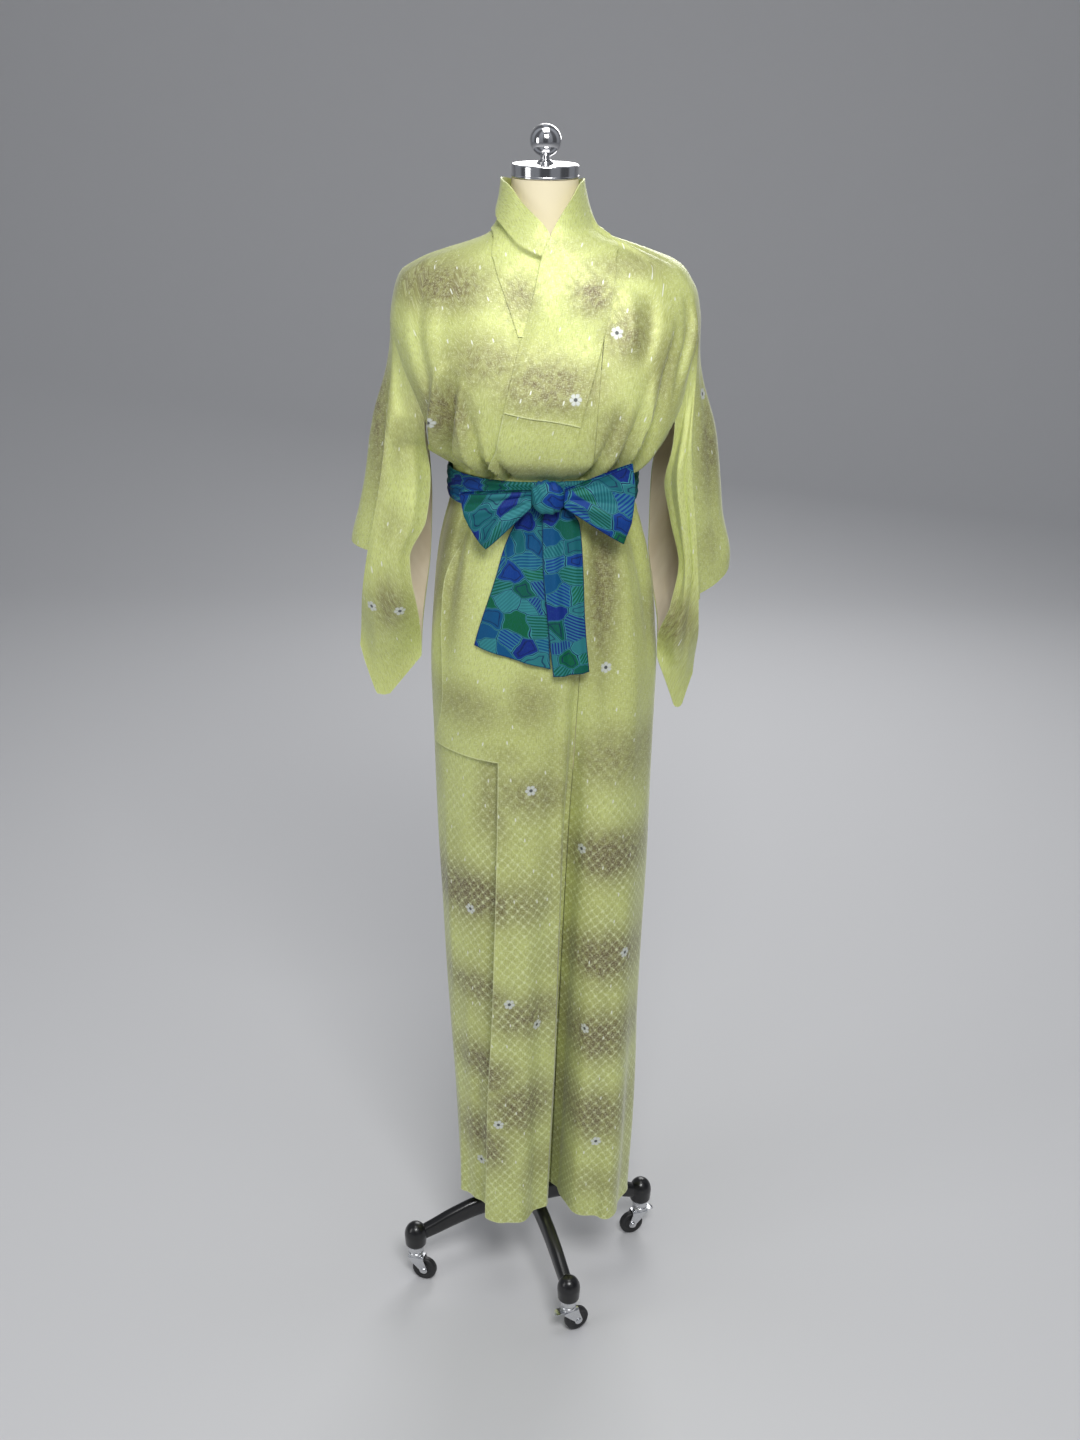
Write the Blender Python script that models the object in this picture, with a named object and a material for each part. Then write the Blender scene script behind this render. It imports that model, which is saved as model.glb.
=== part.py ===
# Silk kimono robe tied with a sash, on a limbless dress form with a four-leg caster base.
# Metres. +Z is up, the robe faces -Y, and +X is the wearer's left. The origin is on the floor under the pole.

import math

import bmesh
import bpy
import numpy as np
from mathutils import Matrix, Vector

# Cloth
WALL = 0.0013           # thickness of one layer of the robe
LAYER = 0.0026          # one layer lies this far over the next
LAYER_FADE = (66.0, 92.0)   # angles between which the left front comes down to the form
SEAM_TURN = 0.12        # degrees that a panel's edge stays back from a seam, about 0.3 mm
COLLAR_SEAM_TURN = 0.14
TIP_TURN = 0.35         # least width of the overlap's tip, in degrees
SLEEVE_TURN = 0.30      # degrees between the armhole's edge and the sleeve
SEAM = 0.0006           # the same gap along a seam that runs across, in height
LINING_WALL = 0.0010
LINING_DROP = 0.0016    # from the sleeve's inside to the lining's inside face
SASH_WALL = 0.0016
HEM = 0.150             # height of the hem over the floor
SKIRT_TOP = 1.160       # the skirt's seams run into the chest's between this height and the waist
WAIST = 1.305
COLLAR_END = 0.953      # lower end of the collar, on the skirt
EDGE_CHANGE = 0.9525    # the overlap's edge runs along the collar above this height
NECK_TURN = 1.636       # the collar leaves the front and goes round the neck at this height
BODY_TOP = 1.657        # the body's edge at the back of the neck
LEAST_FRONT = 6.0       # degrees from the armhole to the body's front edge, at least

# Heights that every piece of the robe shares, so that layers stay parallel.
ROBE_ROWS = (
    0.150, 0.235, 0.330, 0.430, 0.530, 0.630, 0.735, 0.845, 0.952, 0.990, 1.040, 1.100, 1.160, 1.210,
    1.245, 1.275, 1.305, 1.340, 1.356, 1.365, 1.377, 1.392, 1.412, 1.430, 1.458, 1.488, 1.518, 1.548,
    1.572, 1.594, 1.612, 1.625, 1.637, 1.648, BODY_TOP,
)
BACK_CELLS = 6          # cells across half the back, one armhole, half the front and the two overlaps
ARMHOLE_CELLS = 2
FRONT_CELLS = 8
OKUMI_CELLS = {"left": 7, "right": 5}
COLLAR_CELLS = 5
OVER_COLLAR_GAP = 0.0006
OVER_COLLAR_END = {"left": 1.444, "right": 1.545}

# Where the left half of the collar crosses the right one it lies further out: by how much, and the
# heights and angles that this comes in and goes out over.
CROSSING_RISE = 0.0026
CROSSING_START = (1.50, 1.58)
CROSSING_END = (1.60, 1.66)
CROSSING_ANGLES = (25.0, 70.0)
NECK_SEAM_FROM = 1.64   # above this the collar's sewn edge stays this much over the body's edge
NECK_SEAM_RISE = 0.0008

# Dress form and stand
FORM_BOTTOM = 0.925
NECK_TOP = 1.7327
NECK_RADIUS = 0.0435
NECK_ROW_STEP = 0.010   # the form's own rows start again this far over the body's top row
CAP_TOP = 1.750
CAP_PROUD = 0.0008      # the cap stands out from the neck by this much
CAP_EDGE = 0.0024       # bevel along its two edges
BALL_RADIUS = 0.0205
BALL_HEIGHT = 1.779
BALL_ROWS = 8
STEM = ((0.0110, 0.0), (0.0105, 0.0025), (0.0062, 0.0050), (0.0060, 0.0085))    # radii and heights over the cap
STEM_TOP_RADIUS = 0.0075    # radius at which the ball starts over the stem
POLE_RADIUS = 0.0125
HUB_RADIUS = 0.024
HUB_TOP = 0.144
HUB_BOTTOM = 0.096
HUB_EDGE = 0.004        # bevel round its underside
HUB_SHOULDER = (0.006, 0.012)   # its top edge steps in by the first over the height of the second
LEG_REACH = 0.196       # pole axis to a caster's swivel axis
LEG_TURN = 18.5         # degrees from +X to the first leg
LEGS = 4
LEG_SIDES = 8
LEG_ROUND = 0.6         # squareness of a leg's section, 1 is round
CUP_RADIUS = 0.0180     # round cup at the end of a leg
CUP_BOTTOM = 0.0640
CUP_WALL = 0.022        # height of its straight side, under the dome
CUP_TOP = 0.106
CUP_EDGE = 0.0025       # bevel round its underside
DOME_BEND = (0.68, 0.70)    # shares of the radius and of the height at which the dome bends
WHEEL_RADIUS = 0.0200
WHEEL_WIDTH = 0.0120
WHEEL_SIDES = 20
WHEEL_EDGE = 0.0025     # width of the tyre's bevelled edge
AXLE_RADIUS = 0.0030
AXLE_PROUD = 0.0012     # the axle's ends stand out of the fork by this much
BORE_RADIUS = 0.0034
TRAIL = 0.0150          # swivel axis to wheel axis
FORK_GAP = 0.0146       # between the fork's two plates
FORK_PLATE = 0.0016
TOUCH = 0.0003          # between pieces that rest on each other
CASTER_TURNS = (200, 60, -15, 30)   # degrees from +X that each caster trails to
BRAKED = (0, 3)         # casters with a brake tab
FORK_REACH = (-0.0110, 0.0150)      # the fork plate's ends along its trail
BRAKE_TAB = (-0.0230, -0.0090)      # the brake tab's ends along the trail
BRAKE_HALF = 0.0070
FORK_REAR = 0.0040      # height of the side plate's straight rear end, under the top plate
FORK_FOOT = ((-0.0060, -0.0060), (0.0, -0.0078), (0.0060, -0.0050))     # its lower corners from the wheel axis
HEAD_RADIUS = 0.0125    # swivel head between the fork and the cup
HEAD_HEIGHT = 0.0080
HEAD_EDGE = 0.0013
PLATE_LOW = 2 * WHEEL_RADIUS + 0.0030   # underside of the fork's plate


def table(columns, *rows):
    # Named columns out of rows, as one array for each name.
    return dict(zip(columns.split(), np.array(rows, dtype=float).T))


# Robe sections by height: half widths to the wearer's right and left of the pole, depths to the
# front and back, and squareness of the oval (1 is an ellipse, less is boxier).
ROBE = table(
    "z      right  left   front  back   square",
    (0.150, 0.112, 0.152, 0.098, 0.104, 1.00),
    (0.310, 0.119, 0.159, 0.105, 0.108, 1.00),
    (0.490, 0.130, 0.162, 0.112, 0.115, 1.00),
    (0.670, 0.139, 0.165, 0.117, 0.122, 1.00),
    (0.840, 0.147, 0.168, 0.121, 0.130, 1.00),
    (0.950, 0.150, 0.169, 0.124, 0.135, 0.98),
    (1.060, 0.153, 0.169, 0.125, 0.135, 0.96),
    (1.155, 0.149, 0.162, 0.118, 0.121, 0.95),
    (1.240, 0.137, 0.147, 0.107, 0.100, 0.95),
    (1.275, 0.129, 0.136, 0.101, 0.091, 0.95),
    (1.305, 0.122, 0.128, 0.098, 0.087, 0.95),
    (1.356, 0.122, 0.128, 0.098, 0.087, 0.94),
    (1.370, 0.140, 0.146, 0.114, 0.099, 0.88),
    (1.388, 0.163, 0.162, 0.128, 0.107, 0.82),
    (1.415, 0.169, 0.176, 0.134, 0.110, 0.78),
    (1.450, 0.178, 0.190, 0.132, 0.110, 0.75),
    (1.500, 0.195, 0.200, 0.120, 0.107, 0.74),
    (1.548, 0.204, 0.210, 0.104, 0.099, 0.76),
    (1.586, 0.199, 0.205, 0.090, 0.090, 0.80),
    (1.610, 0.190, 0.193, 0.081, 0.082, 0.86),
    (1.620, 0.176, 0.186, 0.077, 0.078, 0.90),
    (1.630, 0.157, 0.172, 0.073, 0.074, 0.94),
    (1.640, 0.130, 0.147, 0.069, 0.069, 0.97),
    (1.650, 0.099, 0.118, 0.065, 0.064, 1.00),
    (1.660, 0.075, 0.087, 0.061, 0.059, 1.00),
    (1.672, 0.062, 0.067, 0.057, 0.055, 1.00),
    (1.690, 0.055, 0.058, 0.053, 0.052, 1.00),
    (1.710, 0.050, 0.052, 0.050, 0.050, 1.00),
    (1.732, 0.0475, 0.0480, 0.0475, 0.0475, 1.00),
    (1.760, 0.0470, 0.0475, 0.0470, 0.0470, 1.00),
)

# Folds by row: heights and angles of the fold's low and high ends, its half width in degrees, and how far
# it is pushed in there (out where negative). Angles run from the front centre, + to the wearer's left.
FOLD_COLUMNS = "low_z high_z low_angle high_angle width low_depth high_depth"
BACK_FOLDS = (
    (0.15, 1.18, 150, 146, 12, 0.030, 0.000),
    (0.15, 1.10, -152, -146, 13, 0.026, 0.000),
    (0.15, 1.00, 118, 122, 12, -0.014, 0.000),
    (0.15, 1.00, -176, 178, 11, -0.014, 0.000),
    (1.37, 1.52, 160, 150, 10, 0.012, 0.000),
    (1.37, 1.52, -158, -148, 10, 0.011, 0.000),
)
CHEST_FOLDS = (
    (1.37, 1.56, 46, 60, 9, 0.011, 0.003),
    (1.37, 1.47, -50, -60, 12, 0.008, 0.000),
    (1.37, 1.48, 62, 70, 6, -0.006, 0.000),
)
OUTER_FOLDS = table(
    FOLD_COLUMNS,
    (0.15, 1.22, 13, 20, 12, 0.068, 0.003),
    (0.15, 1.05, 56, 48, 18, -0.040, 0.000),
    (0.15, 1.05, -24, -14, 16, -0.024, 0.000),
    (0.15, 1.00, 82, 78, 10, -0.012, 0.000),
    *CHEST_FOLDS,
    *BACK_FOLDS,
)
UNDER_FOLDS = table(
    FOLD_COLUMNS,
    (0.15, 1.22, 14, 20, 34, 0.074, 0.003),
    (0.15, 0.90, -62, -58, 12, 0.010, 0.000),
    *CHEST_FOLDS,
    *BACK_FOLDS,
)
NO_FOLDS = table(FOLD_COLUMNS, (0.15, 1.22, 13, 20, 12, 0.0, 0.0))
FOLD_FADE = 0.018       # a fold that starts above the hem fades in over this height

# Front edges by height, as distances from the pole in the front view, + to the wearer's left.
# Wearer's left front: where the collar's free edge and seam run, and the front edge of the overlap.
LEFT_COLLAR = table(
    "z      free    seam",
    (0.953, -0.1440, -0.0535),
    (0.985, -0.1370, -0.0480),
    (1.030, -0.1310, -0.0375),
    (1.082, -0.1330, -0.0260),
    (1.126, -0.1340, -0.0155),
    (1.190, -0.1300, -0.0030),
    (1.240, -0.1160, 0.0060),
    (1.305, -0.0860, 0.0170),
    (1.356, -0.0700, 0.0285),
    (1.388, -0.0625, 0.0360),
    (1.458, -0.0470, 0.0530),
    (1.518, -0.0330, 0.0690),
    (1.580, -0.0150, 0.0830),
    (1.636, -0.0030, 0.0900),
)
# Wearer's right front, which the left one covers from the crossing down.
RIGHT_COLLAR = table(
    "z      free    seam",
    (0.953, 0.1150, 0.0900),
    (1.030, 0.1150, 0.0840),
    (1.126, 0.1120, 0.0720),
    (1.240, 0.1060, 0.0520),
    (1.305, 0.0960, 0.0400),
    (1.356, 0.0950, 0.0260),
    (1.388, 0.1000, 0.0180),
    (1.458, 0.0900, 0.0000),
    (1.518, 0.0720, -0.0180),
    (1.580, 0.0430, -0.0410),
    (1.636, 0.0180, -0.0640),
)
# The collar's way round the neck, as angles and heights of its sewn and free edges on the left side.
NECK_COLLAR = table(
    "seam_angle seam_z free_angle free_z",
    (58, 1.6520, 7, 1.6760),
    (72, 1.6600, 30, 1.7010),
    (90, 1.6640, 60, 1.7220),
    (112, 1.6640, 92, 1.7320),
    (136, 1.6610, 128, 1.7270),
    (158, 1.6600, 156, 1.7200),
    (179.6, 1.6590, 179.6, 1.7180),
)
NECK_RIGHT_COLLAR = table(
    "seam_angle seam_z free_angle free_z",
    (-52, 1.6560, 5, 1.6740),
    (-70, 1.6630, -30, 1.7010),
    (-90, 1.6650, -60, 1.7220),
    (-112, 1.6640, -92, 1.7320),
    (-136, 1.6610, -128, 1.7270),
    (-158, 1.6600, -156, 1.7200),
    (-179.6, 1.6590, -179.6, 1.7180),
)
OKUMI_EDGE = table(
    "z      left    right",
    (0.150, -0.0640, 0.0850),
    (0.390, -0.0605, 0.0850),
    (0.565, -0.0555, 0.0860),
    (0.730, -0.0535, 0.0870),
    (0.952, -0.0530, 0.0890),
)
# Seam between body and overlap above the waist; its last row is where it meets the collar's seam.
LEFT_OKUMI_SEAM = table(
    "z      x",
    (1.305, 0.0560),
    (1.356, 0.0655),
    (1.388, 0.0685),
    (1.484, 0.0745),
    (1.566, 0.0804),
)
RIGHT_OKUMI_SEAM = table(
    "z      x",
    (1.305, -0.0180),
    (1.356, -0.0130),
    (1.388, -0.0120),
    (1.430, -0.0110),
    (1.488, -0.0090),
)
OKUMI_TOP = {"left": 1.548, "right": 1.458}
RIGHT_OKUMI_SEAM_X = -0.0440

# Side opening under the arm: angles of its front and back edges by height.
ARMHOLE_TOP = 1.548
UNDERARM = 1.430
SLIT_BOTTOM = 1.340
ARMHOLE = table(
    "z      right_front left_front back",
    (1.300, 82, 82, 98),
    (1.340, 80, 81, 100),
    (1.370, 77, 81, 103),
    (1.385, 69, 79, 109),
    (1.400, 60, 74, 114),
    (1.415, 58, 72, 116),
    (1.430, 60, 73, 114),
    (1.500, 70, 75, 108),
    (1.548, 75, 75, 105),
)

# Sleeves: one row for each height. Distances from the pole to the inner edge and the crease of the front
# layer, to the top fold and to the back layer's edges, and depths of the edges (- is the front).
SLEEVE_COLUMNS = "z inner inner_y crease crease_y fold back_crease back_crease_y back_inner back_inner_y"
SLEEVES = {
    "right": table(
        SLEEVE_COLUMNS,
        (1.000, 0.168, -0.018, 0.260, -0.018, 0.262, 0.260, 0.004, 0.170, 0.004),
        (1.060, 0.168, -0.040, 0.259, -0.034, 0.261, 0.257, 0.016, 0.168, 0.022),
        (1.100, 0.169, -0.056, 0.255, -0.046, 0.260, 0.252, 0.028, 0.166, 0.034),
        (1.170, 0.173, -0.066, 0.2475, -0.056, 0.262, 0.246, 0.040, 0.160, 0.046),
        (1.236, 0.178, -0.070, 0.237, -0.062, 0.264, 0.240, 0.050, 0.156, 0.056),
        (1.290, 0.155, -0.064, 0.226, -0.064, 0.252, 0.230, 0.056, 0.155, 0.060),
        (1.340, 0.150, -0.050, 0.217, -0.064, 0.241, 0.220, 0.058, 0.157, 0.058),
        (1.390, 0.154, -0.038, 0.210, -0.062, 0.234, 0.213, 0.057, 0.163, 0.052),
    ),
    "left": table(
        SLEEVE_COLUMNS,
        (1.000, 0.168, -0.048, 0.2185, -0.026, 0.222, 0.2185, -0.012, 0.170, -0.036),
        (1.060, 0.167, -0.056, 0.2215, -0.038, 0.228, 0.2225, 0.006, 0.170, -0.032),
        (1.100, 0.167, -0.060, 0.2225, -0.050, 0.234, 0.2245, 0.022, 0.171, -0.010),
        (1.170, 0.184, -0.056, 0.2200, -0.062, 0.262, 0.230, 0.044, 0.163, 0.036),
        (1.225, 0.1935, -0.050, 0.2165, -0.068, 0.267, 0.236, 0.052, 0.156, 0.050),
        (1.290, 0.179, -0.050, 0.2105, -0.070, 0.252, 0.236, 0.058, 0.156, 0.056),
        (1.350, 0.168, -0.050, 0.2035, -0.068, 0.245, 0.228, 0.060, 0.158, 0.058),
        (1.390, 0.1735, -0.046, 0.2010, -0.065, 0.240, 0.222, 0.059, 0.162, 0.052),
    ),
}
# Heights of each sleeve's lower corners: inner corner, lowest edge and cuff corner, and the shares of the
# way from the inner corner to the crease between which the lowest edge lies.
SLEEVE_CORNERS = {
    "right": {"inner": 1.071, "tip": 1.011, "cuff": 1.087, "tip_place": (0.50, 0.72)},
    "left": {"inner": 1.085, "tip": 1.006, "cuff": 1.052, "tip_place": (0.56, 0.78)},
}
CUFF_HEIGHT = {"right": 1.238, "left": 1.180}
CUFF_RISE = {"right": 0.004, "left": 0.032}     # how much higher the cuff is at the top fold
LAYER_CELLS = 4         # cells across one layer of a sleeve
STRIP_CELLS = 4         # cells from the front crease round the top fold to the back crease
SLEEVE_ROWS = 13
CUFF_ROW = 7            # the row that the cuff opening starts at
CUFF_SLANT = 0.012      # the cuff's row rises by this towards the underarm
SLEEVE_SWELL = 0.010    # the layers stand apart by this much more in their middle
SWELL_REACH = 0.12
EDGE_APART = 0.0021     # half the distance between the layers where they are sewn together
CLOSE_FROM = 1.5        # rows under the cuff's row where the layers start to come together
SETTLE_ROWS = 3.0       # rows from the armhole over which the sleeve leaves the robe's own form

# Sash
BAND_LOW = 1.311
BAND_HIGH = 1.354
BAND_OUT = 0.0048       # from the robe's inner surface to the band's inside
BAND_BELLY = 0.0012     # and this much more at the middle of its height
BAND_CELLS = 36
BAND_ROWS = 3
KNOT = {"centre": (0.0100, -0.1190, 1.3380), "half": (0.0220, 0.0140, 0.0210)}
KNOT_SQUARE = 0.8       # squareness of the knot, 1 is round
KNOT_CELLS = (14, 9)
LOOP_Y = -0.1205
LOOP_DEEP = 0.0105      # half the distance between a loop's front and back
LOOP_NECK = 0.30        # share of that left beside the knot
LOOP_TIP_BULGE = 0.008
LOOP_WAVE = 0.003
LOOP_ROUND = 0.75       # less makes the loop's sides fuller
LOOP_CELLS = 16
LOOP_HEIGHT_CELLS = 5
# Bow loops in the front view: distance to the wearer's left and height of each corner.
LOOPS = {
    "right": {"knot_high": (-0.0121, 1.3470), "knot_low": (-0.0121, 1.3240),
              "tip_high": (-0.1060, 1.3420), "tip_low": (-0.0720, 1.2660)},
    "left": {"knot_high": (0.0321, 1.3480), "knot_low": (0.0321, 1.3250),
             "tip_high": (0.1200, 1.3850), "tip_low": (0.1120, 1.2760)},
}
# Hanging ends by height: their edges in the front view.
WIDE_TAIL = table(
    "z      left    right",
    (1.124, -0.0840, 0.0170),
    (1.145, -0.0790, 0.0150),
    (1.216, -0.0580, 0.0110),
    (1.267, -0.0440, 0.0080),
    (1.318, -0.0220, 0.0090),
)
NARROW_TAIL = table(
    "z      left    right",
    (1.088, 0.0205, 0.0675),
    (1.171, 0.0110, 0.0600),
    (1.241, 0.0045, 0.0560),
    (1.296, 0.0030, 0.0500),
    (1.318, 0.0060, 0.0380),
)
# How far each end lies off the robe, how much its lower edge rises across, and its wave.
TAILS = {
    "wide": {"edges": WIDE_TAIL, "out": 0.0078, "slant": -0.026, "wave": 0.003},
    "narrow": {"edges": NARROW_TAIL, "out": 0.0105, "slant": 0.005, "wave": 0.003},
}
TAIL_ROWS = 11
TAIL_CELLS = 6
SLANT_REACH = 0.06      # the slant fades out over this height
WAVE_REACH = 0.10       # the wave comes in over this height

# Dress form sections by height: half width, depths to the front and back.
FORM = table(
    "z      half   front  back",
    (0.925, 0.126, 0.090, 0.104),
    (0.935, 0.135, 0.097, 0.113),
    (0.960, 0.140, 0.100, 0.119),
    (1.030, 0.144, 0.104, 0.125),
    (1.100, 0.142, 0.103, 0.120),
    (1.180, 0.132, 0.096, 0.102),
    (1.270, 0.112, 0.086, 0.078),
    (1.340, 0.113, 0.092, 0.080),
    (1.400, 0.126, 0.112, 0.088),
    (1.450, 0.136, 0.121, 0.094),
    (1.500, 0.146, 0.110, 0.096),
    (1.548, 0.164, 0.093, 0.090),
    (1.586, 0.180, 0.079, 0.082),
    (1.610, 0.1830, 0.0710, 0.0780),
    (1.620, 0.1720, 0.0680, 0.0750),
    (1.630, 0.1545, 0.0650, 0.0715),
    (1.640, 0.1280, 0.0620, 0.0670),
    (1.650, 0.0970, 0.0590, 0.0620),
    (1.660, 0.0690, 0.0540, 0.0570),
    (1.672, 0.0540, 0.0500, 0.0520),
    (1.690, 0.0465, 0.0465, 0.0475),
    (1.710, 0.0450, 0.0445, 0.0450),
    (NECK_TOP, NECK_RADIUS, NECK_RADIUS, NECK_RADIUS),
)

# Columns round half of the form: angles from and to, and how many, ends counted.
FORM_SPANS = ((0, 75, 6), (75, 105, 3), (105, 180, 7))

# Leg sections from the hub to the caster cup: distance from the pole, height, width and depth.
LEG = table(
    "reach  z      width  height",
    (0.008, 0.1220, 0.0200, 0.0340),
    (0.045, 0.1225, 0.0200, 0.0340),
    (0.090, 0.1165, 0.0200, 0.0325),
    (0.130, 0.1050, 0.0200, 0.0295),
    (0.165, 0.0915, 0.0195, 0.0255),
    (0.192, 0.0820, 0.0185, 0.0220),
)

MATERIALS = {
    "silk": ((0.60, 0.62, 0.20), 0.42, 0.0),
    "lining": ((0.66, 0.58, 0.46), 0.75, 0.0),
    "sash_cloth": ((0.03, 0.20, 0.36), 0.55, 0.0),
    "form_cloth": ((0.76, 0.69, 0.50), 0.85, 0.0),
    "chrome": ((0.72, 0.72, 0.73), 0.12, 1.0),
    "cast_iron": ((0.012, 0.012, 0.013), 0.32, 0.0),
    "zinc": ((0.62, 0.63, 0.65), 0.28, 1.0),
    "wheel_rubber": ((0.015, 0.015, 0.016), 0.5, 0.0),
}


def clear_scene():
    for obj in list(bpy.data.objects):
        bpy.data.objects.remove(obj, do_unlink=True)


def material(slot):
    found = bpy.data.materials.get(slot)
    if found:
        return found
    color, roughness, metallic = MATERIALS[slot]
    made = bpy.data.materials.new(slot)
    made.use_nodes = True
    shader = made.node_tree.nodes["Principled BSDF"]
    shader.inputs["Base Color"].default_value = (*color, 1.0)
    shader.inputs["Roughness"].default_value = roughness
    shader.inputs["Metallic"].default_value = metallic
    return made


def add_object(name, mesh, slot):
    mesh.materials.append(material(slot))
    obj = bpy.data.objects.new(name, mesh)
    bpy.context.scene.collection.objects.link(obj)
    return obj


def finish_mesh(name, bm, slot, smooth=True, sharp=40):
    # Faces pointing out, then smooth shading with sharp edges kept.
    bmesh.ops.recalc_face_normals(bm, faces=bm.faces)
    mesh = bpy.data.meshes.new(name)
    bm.to_mesh(mesh)
    bm.free()
    if smooth:
        mesh.shade_smooth()
        mesh.set_sharp_from_angle(angle=math.radians(sharp))
    return add_object(name, mesh, slot)


def smooth_read(stations, values, at):
    # Cubic through the rows with no overshoot: each tangent is the harmonic mean of its two slopes.
    step = np.diff(stations)
    slope = np.diff(values) / step
    before, after = slope[:-1], slope[1:]
    same = before * after > 0
    total = np.where(same, before + after, 1.0)
    middle = np.where(same, 2 * before * after / total, 0.0)
    tangent = np.concatenate(([slope[0]], middle, [slope[-1]]))
    at = np.clip(at, stations[0], stations[-1])
    i = np.clip(np.searchsorted(stations, at, side="right") - 1, 0, len(step) - 1)
    t = (at - stations[i]) / step[i]
    start = values[i] * (1 + 2 * t) * (1 - t) ** 2 + tangent[i] * step[i] * t * (1 - t) ** 2
    end = values[i + 1] * t * t * (3 - 2 * t) + tangent[i + 1] * step[i] * t * t * (t - 1)
    return start + end


def read(rows, name, z):
    return smooth_read(rows["z"], rows[name], z)


def ramp(value, low, high):
    # 0 below low, 1 above high, with a soft start and end.
    t = np.clip((value - low) / (high - low), 0.0, 1.0)
    return t * t * (3 - 2 * t)


def turned(angle):
    return (angle + 180.0) % 360.0 - 180.0


def fold_push(angle, z, folds):
    # How far the folds push each point back along Y, summed over the rows.
    push = np.zeros(np.broadcast(angle, z).shape)
    for i in range(len(folds["low_z"])):
        low, high = folds["low_z"][i], folds["high_z"][i]
        t = np.clip((z - low) / (high - low), 0.0, 1.0)
        sweep = turned(folds["high_angle"][i] - folds["low_angle"][i])
        centre = folds["low_angle"][i] + sweep * t
        depth = folds["low_depth"][i] + (folds["high_depth"][i] - folds["low_depth"][i]) * t
        if low > HEM:
            depth = depth * ramp(z, low - FOLD_FADE, low)
        depth = depth * (1 - ramp(z, high, high + 2 * FOLD_FADE))
        away = turned(angle - centre) / folds["width"][i]
        facing = math.copysign(1.0, math.cos(math.radians(folds["low_angle"][i])))
        push = push + facing * depth * np.exp(-away * away)
    return push


def robe_surface(angle, z, folds):
    # Oval section at height z with its folds pushed in along Y.
    angle, z = np.broadcast_arrays(np.asarray(angle, float), np.asarray(z, float))
    sine, cosine = np.sin(np.radians(angle)), np.cos(np.radians(angle))
    square = read(ROBE, "square", z)
    wide = np.where(sine > 0, read(ROBE, "left", z), read(ROBE, "right", z))
    deep = np.where(cosine > 0, read(ROBE, "front", z), read(ROBE, "back", z))
    x = wide * np.sign(sine) * np.abs(sine) ** square
    y = -deep * np.sign(cosine) * np.abs(cosine) ** square + fold_push(angle, z, folds)
    return np.stack((x, y, z), axis=-1)


def robe(angle, z, out, folds):
    # A point of the robe moved out by this much along the surface's own normal.
    turn, rise = 1.5, 0.004
    across = robe_surface(angle + turn, z, folds) - robe_surface(angle - turn, z, folds)
    up = robe_surface(angle, z + rise, folds) - robe_surface(angle, z - rise, folds)
    normal = np.cross(across, up)
    normal /= np.linalg.norm(normal, axis=-1, keepdims=True)
    return robe_surface(angle, z, folds) + normal * np.asarray(out)[..., None]


def angle_at(x, z):
    # Angle at which the section at height z reaches x in the front view.
    x, z = np.asarray(x, float), np.asarray(z, float)
    wide = np.where(x > 0, read(ROBE, "left", z), read(ROBE, "right", z))
    share = np.clip(np.abs(x) / wide, 0.0, 1.0) ** (1 / read(ROBE, "square", z))
    return np.sign(x) * np.degrees(np.arcsin(share))


def spread(start, end, cells):
    # Columns from one edge to the other in even steps, a row for each height.
    t = np.linspace(0.0, 1.0, cells + 1)
    return start[:, None] + (end - start)[:, None] * t


def wall(name, inner, outer, slot, keep=None, wrap=False):
    # Closed wall between two grids of points; cells that keep leaves out are openings.
    rows, columns = inner.shape[:2]
    last = columns if wrap else columns - 1
    if keep is None:
        keep = np.ones((rows - 1, last), dtype=bool)
    bm = bmesh.new()
    points = np.concatenate((inner.reshape(-1, 3), outer.reshape(-1, 3)))
    verts = [bm.verts.new(point) for point in points]
    shift = rows * columns

    def kept(r, c):
        if wrap:
            c = c % last
        return 0 <= r < rows - 1 and 0 <= c < last and keep[r, c]

    for r in range(rows - 1):
        for c in range(last):
            if not kept(r, c):
                continue
            right = (c + 1) % columns
            corners = (r * columns + c, r * columns + right, (r + 1) * columns + right, (r + 1) * columns + c)
            a, b, d, e = corners
            for i, j, k in ((a, b, d), (a, d, e)):
                bm.faces.new((verts[shift + i], verts[shift + j], verts[shift + k]))
                bm.faces.new((verts[k], verts[j], verts[i]))
            sides = ((r - 1, c, 0, 1), (r, c + 1, 1, 2), (r + 1, c, 2, 3), (r, c - 1, 3, 0))
            for near_row, near_column, first, second in sides:
                if not kept(near_row, near_column):
                    i, j = corners[first], corners[second]
                    bm.faces.new((verts[i], verts[j], verts[shift + j], verts[shift + i]))
    loose = [vert for vert in bm.verts if not vert.link_faces]
    bmesh.ops.delete(bm, geom=loose, context="VERTS")
    return finish_mesh(name, bm, slot)


def grid_normals(grid):
    # Unit normal at each point of a grid, from its neighbours along both directions.
    across = np.gradient(grid, axis=1)
    down = np.gradient(grid, axis=0)
    normal = np.cross(across, down)
    return normal / np.maximum(np.linalg.norm(normal, axis=-1, keepdims=True), 1e-9)


def turn_profile(name, profile, slot, sides=24, centre=(0, 0), sharp=35):
    # Solid of revolution from (radius, height) pairs that run from the axis up and back to the axis.
    bm = bmesh.new()
    rings = []
    for radius, height in profile:
        if radius == 0:
            rings.append([bm.verts.new((centre[0], centre[1], height))])
            continue
        ring = []
        for i in range(sides):
            a = 2 * math.pi * (i + 0.5) / sides
            x, y = centre[0] + radius * math.cos(a), centre[1] + radius * math.sin(a)
            ring.append(bm.verts.new((x, y, height)))
        rings.append(ring)
    for low, high in zip(rings, rings[1:]):
        for i in range(sides):
            j = (i + 1) % sides
            face = [low[i % len(low)], low[j % len(low)], high[j % len(high)], high[i % len(high)]]
            bm.faces.new(list(dict.fromkeys(face)))
    return finish_mesh(name, bm, slot, sharp=sharp)


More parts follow.
